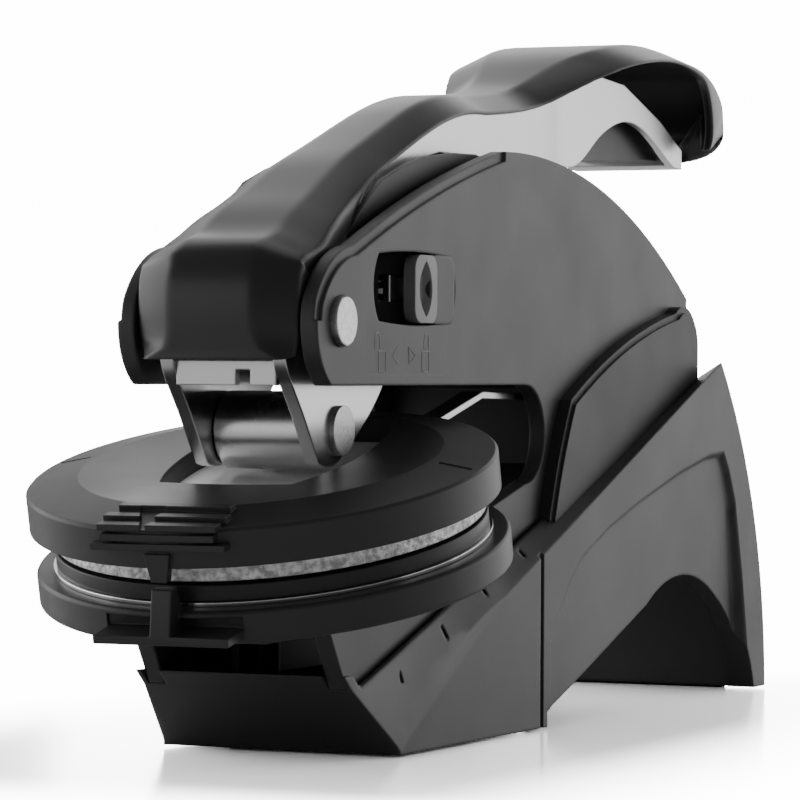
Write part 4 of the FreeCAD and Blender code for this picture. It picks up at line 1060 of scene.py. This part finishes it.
@dataclass
class CoilTree:
    """A compression spring as a rule: turns of round wire between two seats."""

    turns: float = 9.0
    mean_radius: float = 4.05 * MM
    wire_radius: float = 0.55 * MM

    def build(self) -> bpy.types.GeometryNodeTree:
        """Make the tree.

        Returns:
            A tree with inputs Turns, Mean Radius, Wire Radius, Height, Foot and Finish.
        """
        tree, given, result = new_tree("Coil spring", {
            "Turns": ("NodeSocketFloat", self.turns),
            "Mean Radius": ("NodeSocketFloat", self.mean_radius),
            "Wire Radius": ("NodeSocketFloat", self.wire_radius),
            "Height": ("NodeSocketFloat", 0.02),
            "Foot": ("NodeSocketVector", (0.0, 0.0, 0.0)),
            "Finish": ("NodeSocketMaterial", None),
        })
        helix = add(tree, "GeometryNodeCurveSpiral", values={"Resolution": 28}, links={
            "Rotations": given.outputs["Turns"], "Start Radius": given.outputs["Mean Radius"],
            "End Radius": given.outputs["Mean Radius"], "Height": given.outputs["Height"],
        })
        wire = add(tree, "GeometryNodeCurvePrimitiveCircle", values={"Resolution": 12},
                   links={"Radius": given.outputs["Wire Radius"]})
        tube = add(tree, "GeometryNodeCurveToMesh", values={"Fill Caps": True},
                   links={"Curve": helix.outputs["Curve"], "Profile Curve": wire.outputs["Curve"]})
        moved = add(tree, "GeometryNodeTransform", links={
            "Geometry": tube.outputs["Mesh"], "Translation": given.outputs["Foot"]})
        close_tree(tree, moved.outputs["Geometry"], given, result)
        return tree


@dataclass
class ScrewTree:
    """Socket-head screws as a rule: one on each given point, its head outward."""

    head_radius: float = 2.8 * MM
    head_height: float = 1.6 * MM
    shank_radius: float = 1.5 * MM
    socket_radius: float = 1.45 * MM
    socket_depth: float = 1.1 * MM

    def build(self) -> bpy.types.GeometryNodeTree:
        """Make the tree.

        Returns:
            A tree with inputs Head Radius, Head Height, Shank Radius, Length, Socket Radius, Socket Depth,
            Turn and Finish. A screw's outer face lies on its point, and its shank runs along Z, turned.
        """
        tree, given, result = new_tree("Socket screws", {
            "Head Radius": ("NodeSocketFloat", self.head_radius),
            "Head Height": ("NodeSocketFloat", self.head_height),
            "Shank Radius": ("NodeSocketFloat", self.shank_radius),
            "Length": ("NodeSocketFloat", 12.6 * MM),
            "Socket Radius": ("NodeSocketFloat", self.socket_radius),
            "Socket Depth": ("NodeSocketFloat", self.socket_depth),
            "Turn": ("NodeSocketVector", (0.0, 0.0, 0.0)),
            "Finish": ("NodeSocketMaterial", None),
        })
        socket_reach = add(tree, "ShaderNodeMath", {"operation": "MULTIPLY"}, {1: 2.0},
                           {0: given.outputs["Socket Depth"]})
        head = self.bar(tree, given.outputs["Head Radius"], given.outputs["Head Height"], 40)
        key = self.bar(tree, given.outputs["Socket Radius"], socket_reach.outputs["Value"], 6, centred=True)
        shank = self.bar(tree, given.outputs["Shank Radius"], given.outputs["Length"], 24)
        holed = add(tree, "GeometryNodeMeshBoolean", {"operation": "DIFFERENCE", "solver": "EXACT"},
                    links={"Mesh 1": head, "Mesh 2": key})
        below = add(tree, "ShaderNodeCombineXYZ", links={"Z": given.outputs["Head Height"]})
        under = add(tree, "GeometryNodeTransform", links={
            "Geometry": shank, "Translation": below.outputs["Vector"]})
        both = add(tree, "GeometryNodeJoinGeometry")
        tree.links.new(holed.outputs["Mesh"], both.inputs["Geometry"])
        tree.links.new(under.outputs["Geometry"], both.inputs["Geometry"])
        placed = add(tree, "GeometryNodeInstanceOnPoints", links={
            "Points": given.outputs["Geometry"], "Instance": both.outputs["Geometry"],
            "Rotation": given.outputs["Turn"]})
        close_tree(tree, placed.outputs["Instances"], given, result)
        return tree

    def bar(self, tree: Any, radius: Any, length: Any, corners: int, centred: bool = False) -> Any:
        """Make a round or cornered bar along Z.

        Args:
            tree: the tree.
            radius: socket of its radius.
            length: socket of its length.
            corners: corners of its section.
            centred: whether it lies about its point; otherwise it starts there.

        Returns:
            The bar's geometry socket.
        """
        rod = add(tree, "GeometryNodeMeshCylinder", values={"Vertices": corners},
                  links={"Radius": radius, "Depth": length})
        if centred:
            return rod.outputs["Mesh"]
        middle = add(tree, "ShaderNodeMath", {"operation": "MULTIPLY"}, {1: 0.5}, {0: length})
        lift = add(tree, "ShaderNodeCombineXYZ", links={"Z": middle.outputs["Value"]})
        moved = add(tree, "GeometryNodeTransform", links={
            "Geometry": rod.outputs["Mesh"], "Translation": lift.outputs["Vector"]})
        return moved.outputs["Geometry"]


@dataclass
class RidgeTree:
    """Fine raised lines as a rule: a half-sunk round ridge along each given edge."""

    radius: float = 0.17 * MM

    def build(self) -> bpy.types.GeometryNodeTree:
        """Make the tree.

        Returns:
            A tree with inputs Ridge Radius and Finish.
        """
        tree, given, result = new_tree("Raised lines", {
            "Ridge Radius": ("NodeSocketFloat", self.radius),
            "Finish": ("NodeSocketMaterial", None),
        })
        line = add(tree, "GeometryNodeMeshToCurve", links={"Mesh": given.outputs["Geometry"]})
        round_wire = add(tree, "GeometryNodeCurvePrimitiveCircle", values={"Resolution": 8},
                         links={"Radius": given.outputs["Ridge Radius"]})
        tube = add(tree, "GeometryNodeCurveToMesh", values={"Fill Caps": True},
                   links={"Curve": line.outputs["Curve"], "Profile Curve": round_wire.outputs["Curve"]})
        close_tree(tree, tube.outputs["Mesh"], given, result)
        return tree


@dataclass
class LockSigns:
    """The raised signs under the lock: an open and a shut padlock, two arrowheads and a faint border.

    The lines (y, z) and their sizes are in millimetres; face and sunk are in metres.
    """

    face: float = 15.2 * MM
    sunk: float = 0.1 * MM
    body: tuple[float, float] = (2.4, 2.9)
    foot: float = 53.6
    border: tuple[float, float, float, float] = (-59.9, -31.6, 53.2, 70.75)
    border_corner: float = 2.0
    bow_gap: float = 0.35
    bow_rise: float = 1.4

    def lines(self) -> list[tuple[bool, list[tuple[float, float]]]]:
        """List the signs' lines.

        Returns:
            For each line whether it is closed, and its points (y, z) in millimetres.
        """
        return [
            (True, self.box(-54.0)), (False, self.shackle(-55.6, 0.8)),
            (True, self.box(-38.95)), (False, self.shackle(-38.65, 0.75)),
            (False, [(-48.4, 57.3), (-50.5, 55.85), (-48.2, 54.6)]),
            (True, [(-44.9, 57.15), (-42.6, 55.9), (-44.7, 54.75)]),
        ]

    def box(self, middle: float) -> list[tuple[float, float]]:
        """The body of a padlock."""
        half = self.body[0] / 2
        return [(middle - half, self.foot), (middle + half, self.foot),
                (middle + half, self.foot + self.body[1]), (middle - half, self.foot + self.body[1])]

    def shackle(self, middle: float, half: float) -> list[tuple[float, float]]:
        """The bow of a padlock."""
        low = self.foot + self.body[1] + self.bow_gap
        arc = [(middle + half * math.cos(turn), low + self.bow_rise + half * math.sin(turn))
               for turn in (math.pi * step / 8 for step in range(9))]
        return [(middle + half, low), *arc, (middle - half, low)]

    def rim(self) -> list[tuple[float, float]]:
        """The border's rounded corners, in order."""
        left, right, low, high = self.border
        corner = self.border_corner
        points = []
        for y, z, start in ((right - corner, high - corner, 0), (left + corner, high - corner, 1),
                            (left + corner, low + corner, 2), (right - corner, low + corner, 3)):
            points += [(y + corner * math.cos(turn), z + corner * math.sin(turn))
                       for turn in (math.pi / 2 * (start + step / 6) for step in range(7))]
        return points

    def mesh_of(self, lines: list[tuple[bool, list[tuple[float, float]]]]) -> tuple[list, list]:
        """Turn lines into points on the plate's face and edges between them."""
        points, edges = [], []
        for closed, line in lines:
            first = len(points)
            points += [(self.face - self.sunk, y * MM, z * MM) for y, z in line]
            edges += [(first + index, first + index + 1) for index in range(len(line) - 1)]
            if closed:
                edges.append((len(points) - 1, first))
        return points, edges


@dataclass
class FrameDress(SubAssembly):
    """The still pieces: base, plates, core, panels, pin and spring.

    Its sizes and the places of bolts (y, z) and screws are in millimetres.
    """

    spring: CoilTree = field(default_factory=CoilTree)
    screw: ScrewTree = field(default_factory=ScrewTree)
    ridge: RidgeTree = field(default_factory=RidgeTree)
    signs: LockSigns = field(default_factory=LockSigns)
    border_share: float = 0.6
    plate_face: float = 15.2
    bolt_length: float = 27.5
    screw_length: float = 11.0
    bolt_places: tuple[tuple[float, float], ...] = ((16.65, 54.9), (16.65, 30.1), (54.75, 51.6))
    screw_columns: tuple[float, float] = (-7.56, 7.56)
    screw_rows: tuple[float, float] = (-45.25, -15.25)
    screw_lift: float = 0.4

    def build(self) -> None:
        """Dress every piece of the frame."""
        self.base()
        self.dress("rubber_pads", PAD_RUBBER, 0.15)
        feet = [(x * MM, y * MM, self.screw_lift * MM) for y in self.screw_rows for x in self.screw_columns]
        self.screws("base_screws", feet, (0.0, 0.0, 0.0), self.screw_length * MM)
        # The lock's recess is painted black as shade
        refaced(self.dress("frame_plate_right", PLATE_ABS, 0.3), SHADE_BLACK, in_recess)
        self.dress("frame_plate_left", PLATE_ABS, 0.3)
        self.dress("frame_core", CORE_ABS, 0.3)
        self.dress("jaw_bed", CORE_ABS, 0.25)
        heads = [(-self.plate_face * MM, y * MM, z * MM) for y, z in self.bolt_places]
        self.screws("frame_bolts", heads, (0.0, math.pi / 2, 0.0), self.bolt_length * MM)
        self.raised_signs()
        self.dress("side_panel_right", PANEL_ABS, 0.25)
        self.dress("side_panel_left", PANEL_ABS, 0.25)
        self.dress("pivot_pin", PIN_STEEL, 0.2)
        self.dress("spring_post", CORE_ABS, 0.2)
        self.coil()

    def base(self) -> None:
        """Dress the base and scoop its outer sides."""
        scoop = SideScoop()
        copy = smooth_copy(self.frame, "base_shell", 0.0, 0, Rounding.SHADED)
        piece = carved(copy, [scoop.build(1), scoop.build(-1)])
        piece.data.materials.clear()
        piece.data.materials.append(material_of(BASE_ABS))
        shade(piece.data, Rounding.SHADED)
        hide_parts("base_shell")
        self.seat(piece, self.slots["base_shell"])

    def screws(self, node: str, places: list[tuple[float, float, float]], turn: tuple[float, float, float],
               length: float) -> None:
        """Set socket-head screws in the place of a packed group.

        Args:
            node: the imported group.
            places: middles of the heads' outer faces.
            turn: rotation that takes Z to the shanks' direction.
            length: length of a shank.
        """
        piece = solid_from_tree(node + "_socket", self.screw.build(), {
            "Length": length, "Turn": turn, "Finish": material_of(SCREW_STEEL)}, places)
        shade(piece.data, Rounding.SHADED)
        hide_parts(node)
        self.seat(piece, self.slots[node])

    def raised_signs(self) -> None:
        """Raise the generic lock signs and their faint border on the right-hand plate."""
        for name, lines, radius in (("lock_signs", self.signs.lines(), self.ridge.radius),
                                    ("lock_signs_border", [(True, self.signs.rim())],
                                     self.border_share * self.ridge.radius)):
            points, edges = self.signs.mesh_of(lines)
            piece = solid_from_tree(name, self.ridge.build(), {
                "Ridge Radius": radius, "Finish": material_of(KNOB_ABS)}, points, edges)
            shade(piece.data, Rounding.SHADED)
            self.seat(piece, self.slots["frame_plate_right"])

    def coil(self) -> None:
        """Wind the spring anew as round wire."""
        low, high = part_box("lever_spring")
        rise = self.spring.wire_radius
        foot = Vector(((low.x + high.x) / 2, (low.y + high.y) / 2, low.z + rise))
        coil = solid_from_tree("lever_spring_wire", self.spring.build(), {
            "Turns": self.spring.turns, "Mean Radius": self.spring.mean_radius,
            "Wire Radius": self.spring.wire_radius, "Height": high.z - low.z - 2 * rise,
            "Foot": foot, "Finish": material_of(SPRING_STEEL),
        })
        for polygon in coil.data.polygons:
            polygon.use_smooth = True
        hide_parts("lever_spring")
        self.seat(coil, self.slots["lever_spring"])
        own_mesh(coil)


@dataclass
class LeverDress(SubAssembly):
    """The lever: cover, silver channel, core, fork and axle."""

    def build(self) -> None:
        """Dress every piece of the lever."""
        self.cover()
        # Dark walls that paint the shade between the cover and the plates
        for side, name in ((1, "right"), (-1, "left")):
            wall = object_of("lever_shade_wall_" + name, ShadeWallLines().build(side), CORE_ABS)
            self.seat(wall, self.slots["lever_core"])
        # The channel's inner faces are painted black as shade
        refaced(self.dress("lever_skirt", SKIRT_ALUMINIUM, 0.25), SHADE_BLACK, faces_inward)
        self.dress("lever_core", CORE_ABS, 0.3)
        self.dress("lever_bush", GROUND_STEEL, 0.1)
        self.dress("fork_plate_right", STRIP_STEEL, 0.15)
        self.dress("fork_plate_left", STRIP_STEEL, 0.15)
        self.dress("fork_web", STRIP_STEEL, 0.12)
        self.dress("roller_axle", PIN_STEEL, 0.15)

    def cover(self) -> None:
        """Make the cover anew, with broad facets and rounded edges."""
        old = smooth_copy(self.frame, "lever_shell", 0.0, 0, Rounding.LOFTED)
        piece = object_of("lever_cover", CoverLines().build(old.data), COVER_ABS)
        bpy.data.objects.remove(old)
        shade(piece.data, Rounding.LOFTED)
        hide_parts("lever_shell")
        self.seat(piece, self.slots["lever_shell"])


@dataclass
class RollerDress(SubAssembly):
    """The steel roller."""

    def build(self) -> None:
        """Dress the roller."""
        self.dress("press_roller", GROUND_STEEL, 0.15)


@dataclass
class LockDress(SubAssembly):
    """The lock knob and its slide."""

    def build(self) -> None:
        """Dress the knob and the slide."""
        form = KnobForm()
        low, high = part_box("lock_knob")
        knob = object_of("lock_knob_form", form.knob(low, high), KNOB_ABS)
        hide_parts("lock_knob")
        self.seat(knob, self.slots["lock_knob"])
        self.seat(object_of("lock_apron", form.apron(low, high), PLATE_ABS), self.slots["lock_knob"])
        self.dress("lock_slider", STRIP_STEEL, 0.12)


@dataclass
class HolderDress(SubAssembly):
    """The lower half of the die holder."""

    def build(self) -> None:
        """Dress the rings, the runner, the counter plate and the guides."""
        self.dress("lower_ring", HOLDER_ABS, 0.3)
        self.dress("holder_runner", HOLDER_ABS, 0.2)
        self.dress("trim_ring", TRIM_STEEL, 0.12)
        self.dress("counter_plate", COUNTER_PHENOLIC, 0.25)
        self.dress("guide_pins", GROUND_STEEL, 0.15)


@dataclass
class CapDress(SubAssembly):
    """The upper half of the die holder."""

    def build(self) -> None:
        """Dress the cap, its plate, its strap and the die."""
        self.dress("cassette_cap", HOLDER_ABS, 0.35, 3, sharp=7.0)
        self.dress("cap_plate", WELL_STEEL, 0.1)
        self.dress("upper_die", CAST_ALUMINIUM, 0.3)
        self.dress("cap_leaf", STRIP_STEEL, 0.1)


@dataclass(frozen=True)
class Lamp:
    """One soft light: a rectangle that looks at the object.

    Azimuth 0 is the front and grows towards the right-hand side. Both angles are in degrees.
    """

    name: str
    azimuth: float
    elevation: float
    distance: float
    size: tuple[float, float]
    brightness: float
    aim: tuple[float, float, float] = (0.0, 0.0, 0.05)


@dataclass
class Studio:
    """A pale floor, a white surround, soft lights and the camera at the photograph's angle."""

    azimuth: float = 0.41873056819866256
    pitch: float = 0.007506519542366952
    roll: float = 0.004999584240508782
    focal_px: float = 4219.3
    frame_px: float = 800.0
    sensor_mm: float = 36.0
    near_clip: float = 0.05
    eye: tuple[float, float, float] = (0.25617, -0.58923, 0.05412)
    floor_radius: float = 6.0
    stand_half: tuple[float, float] = (0.033, 0.093)
    fade_start: float = 0.004
    fade_end: float = 0.05
    paper_white: float = 15.0
    surround: float = 0.16
    gloss_gain: float = 8.0
    matt_gain: float = 7.0
    mirror_share: float = 0.7
    board_grey: float = 0.88
    board_roughness: float = 0.16
    board_ior: float = 1.45
    lamps: tuple[Lamp, ...] = (
        Lamp("Back wall", 168.0, 11.0, 1.6, (2.9, 1.4), 1.6),
        Lamp("Left soft box", -88.0, 12.0, 1.0, (1.0, 0.9), 2.2),
        Lamp("Front card", -36.0, 4.0, 1.1, (1.0, 0.5), 0.7),
        Lamp("Top soft box", -128.0, 38.0, 0.95, (0.8, 0.75), 0.85),
        Lamp("Overhead card", -160.0, 66.0, 1.0, (0.5, 0.5), 0.7),
        Lamp("Right card", 108.0, 6.0, 1.1, (0.8, 0.6), 0.8),
        Lamp("Well card", -30.0, 60.0, 0.014, (0.008, 0.006), 6.0, (-0.0115, -0.0610, 0.0380)),
    )

    def build(self) -> None:
        """Make the whole studio."""
        self.floor()
        self.sky()
        for lamp in self.lamps:
            self.light(lamp)
        self.camera()

    def floor(self) -> None:
        """Lay the glossy pale floor: near the object it shows the board's real shadows and reflections, and
        its fade to paper white away from the footprint paints a soft shade round the object.
        """
        mesh = bpy.data.meshes.new("Studio floor")
        work = bmesh.new()
        bmesh.ops.create_circle(work, cap_ends=True, radius=self.floor_radius, segments=96)
        work.to_mesh(mesh)
        work.free()
        floor = bpy.data.objects.new("Studio_floor", mesh)
        bpy.context.scene.collection.objects.link(floor)
        material = bpy.data.materials.new("Gloss painted pale board")
        material.use_nodes = True
        tree = material.node_tree
        tree.nodes.clear()
        seen = add(tree, "ShaderNodeLightPath")
        # Painted shade: the floor fades from the lit board near the object's footprint to paper white further
        # out
        fade = add(tree, "ShaderNodeMapRange", {"interpolation_type": "SMOOTHSTEP"},
                   {"From Min": self.fade_start, "From Max": self.fade_end},
                   {"Value": self.distance_off(tree)})
        share = add(tree, "ShaderNodeMath", {"operation": "MULTIPLY"},
                    links={0: fade.outputs["Result"], 1: seen.outputs["Is Camera Ray"]})
        matt = add(tree, "ShaderNodeBsdfDiffuse",
                   links={"Color": self.lifted(tree, seen, self.board_grey, self.matt_gain)})
        mirror = add(tree, "ShaderNodeBsdfGlossy", values={"Roughness": self.board_roughness},
                     links={"Color": self.lifted(tree, seen, 1.0, self.gloss_gain)})
        grazing = add(tree, "ShaderNodeFresnel", values={"IOR": self.board_ior})
        held = add(tree, "ShaderNodeMath", {"operation": "MULTIPLY"}, {1: self.mirror_share},
                   {0: grazing.outputs["Fac"]})
        board = add(tree, "ShaderNodeMixShader", links={
            0: held.outputs["Value"], 1: matt.outputs["BSDF"], 2: mirror.outputs["BSDF"]})
        glow = add(tree, "ShaderNodeEmission", values={"Color": (1, 1, 1, 1), "Strength": self.paper_white})
        mixed = add(tree, "ShaderNodeMixShader", links={
            0: share.outputs["Value"], 1: board.outputs["Shader"], 2: glow.outputs["Emission"]})
        add(tree, "ShaderNodeOutputMaterial", links={"Surface": mixed.outputs["Shader"]})
        mesh.materials.append(material)

    def lifted(self, tree: Any, seen: Any, level: float, gain: float) -> Any:
        """Make a grey that is lifted for the camera alone, as a retouched product ground is.

        Args:
            tree: the floor material's tree.
            seen: the light path node.
            level: the grey that light meets.
            gain: how many times brighter the camera sees it.

        Returns:
            The colour's socket.
        """
        shade = add(tree, "ShaderNodeMapRange", values={"To Min": level, "To Max": level * gain},
                    links={"Value": seen.outputs["Is Camera Ray"]})
        grey = shade.outputs["Result"]
        return add(tree, "ShaderNodeCombineXYZ", links={"X": grey, "Y": grey, "Z": grey}).outputs["Vector"]

    def distance_off(self, tree: Any) -> Any:
        """Work out how far a point of the floor lies outside the object's footprint.

        Args:
            tree: the floor material's tree.

        Returns:
            The socket that holds the distance.
        """
        place = add(tree, "ShaderNodeTexCoord")
        size = add(tree, "ShaderNodeVectorMath", {"operation": "ABSOLUTE"},
                   links={0: place.outputs["Object"]})
        over = add(tree, "ShaderNodeVectorMath", {"operation": "SUBTRACT"},
                   {1: (*self.stand_half, 0.0)}, {0: size.outputs["Vector"]})
        beyond = add(tree, "ShaderNodeVectorMath", {"operation": "MAXIMUM"}, {1: (0.0, 0.0, 0.0)},
                     {0: over.outputs["Vector"]})
        reach = add(tree, "ShaderNodeVectorMath", {"operation": "LENGTH"},
                    links={0: beyond.outputs["Vector"]})
        return reach.outputs["Value"]

    def sky(self) -> None:
        """Show paper white behind the object, and light it only dimly from there."""
        world = bpy.data.worlds.new("White surround")
        bpy.context.scene.world = world
        world.use_nodes = True
        tree = world.node_tree
        seen = add(tree, "ShaderNodeLightPath")
        level = add(tree, "ShaderNodeMapRange", values={"To Min": self.surround, "To Max": self.paper_white},
                    links={"Value": seen.outputs["Is Camera Ray"]})
        back = tree.nodes["Background"]
        back.inputs["Color"].default_value = (1, 1, 1, 1)
        tree.links.new(level.outputs["Result"], back.inputs["Strength"])

    def light(self, lamp: Lamp) -> None:
        """Hang one soft light.

        Args:
            lamp: its place, size and power.
        """
        data = bpy.data.lights.new(lamp.name, "AREA")
        data.shape = "RECTANGLE"
        data.size, data.size_y = lamp.size
        data.energy = lamp.brightness * math.pi * lamp.size[0] * lamp.size[1]
        item = bpy.data.objects.new(lamp.name, data)
        bpy.context.scene.collection.objects.link(item)
        turn, lift = math.radians(lamp.azimuth), math.radians(lamp.elevation)
        away = Vector((math.sin(turn) * math.cos(lift), -math.cos(turn) * math.cos(lift), math.sin(lift)))
        place = Vector(lamp.aim) + away * lamp.distance
        item.matrix_world = Matrix.Translation(place) @ away.to_track_quat("Z", "Y").to_matrix().to_4x4()
        item.visible_camera = False

    def camera(self) -> None:
        """Set the camera that was fitted to the photograph's outlines."""
        right = Vector((math.cos(self.azimuth), math.sin(self.azimuth), 0.0))
        ahead = Vector((-math.sin(self.azimuth) * math.cos(self.pitch),
                        math.cos(self.azimuth) * math.cos(self.pitch), -math.sin(self.pitch)))
        up = right.cross(ahead)
        cosine, sine = math.cos(self.roll), math.sin(self.roll)
        turned_right = right * cosine + up * sine
        turned_up = up * cosine - right * sine
        data = bpy.data.cameras.new("Camera")
        data.sensor_width = self.sensor_mm
        data.lens = self.focal_px / self.frame_px * self.sensor_mm
        data.clip_start = self.near_clip
        item = bpy.data.objects.new("Camera", data)
        bpy.context.scene.collection.objects.link(item)
        turn = Matrix((turned_right, turned_up, -ahead)).transposed().to_4x4()
        item.matrix_world = Matrix.Translation(Vector(self.eye)) @ turn
        bpy.context.scene.camera = item


def main() -> None:
    """Load the frame, dress each sub-assembly in order and set the studio."""
    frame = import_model()
    slots = {part["node"]: part["material_slot"] for part in frame["record"]["subparts"]}
    groups = [
        FrameDress(frame, "frame", slots),
        LeverDress(frame, "lever", slots),
        RollerDress(frame, "roller", slots),
        LockDress(frame, "lock", slots),
        HolderDress(frame, "holder", slots),
        CapDress(frame, "cap", slots),
    ]
    for group in groups:
        group.build()
        LOG.info("%s holds %d dressed pieces", group.body, len(group.made))
    Studio().build()


if __name__ == "__main__":
    main()
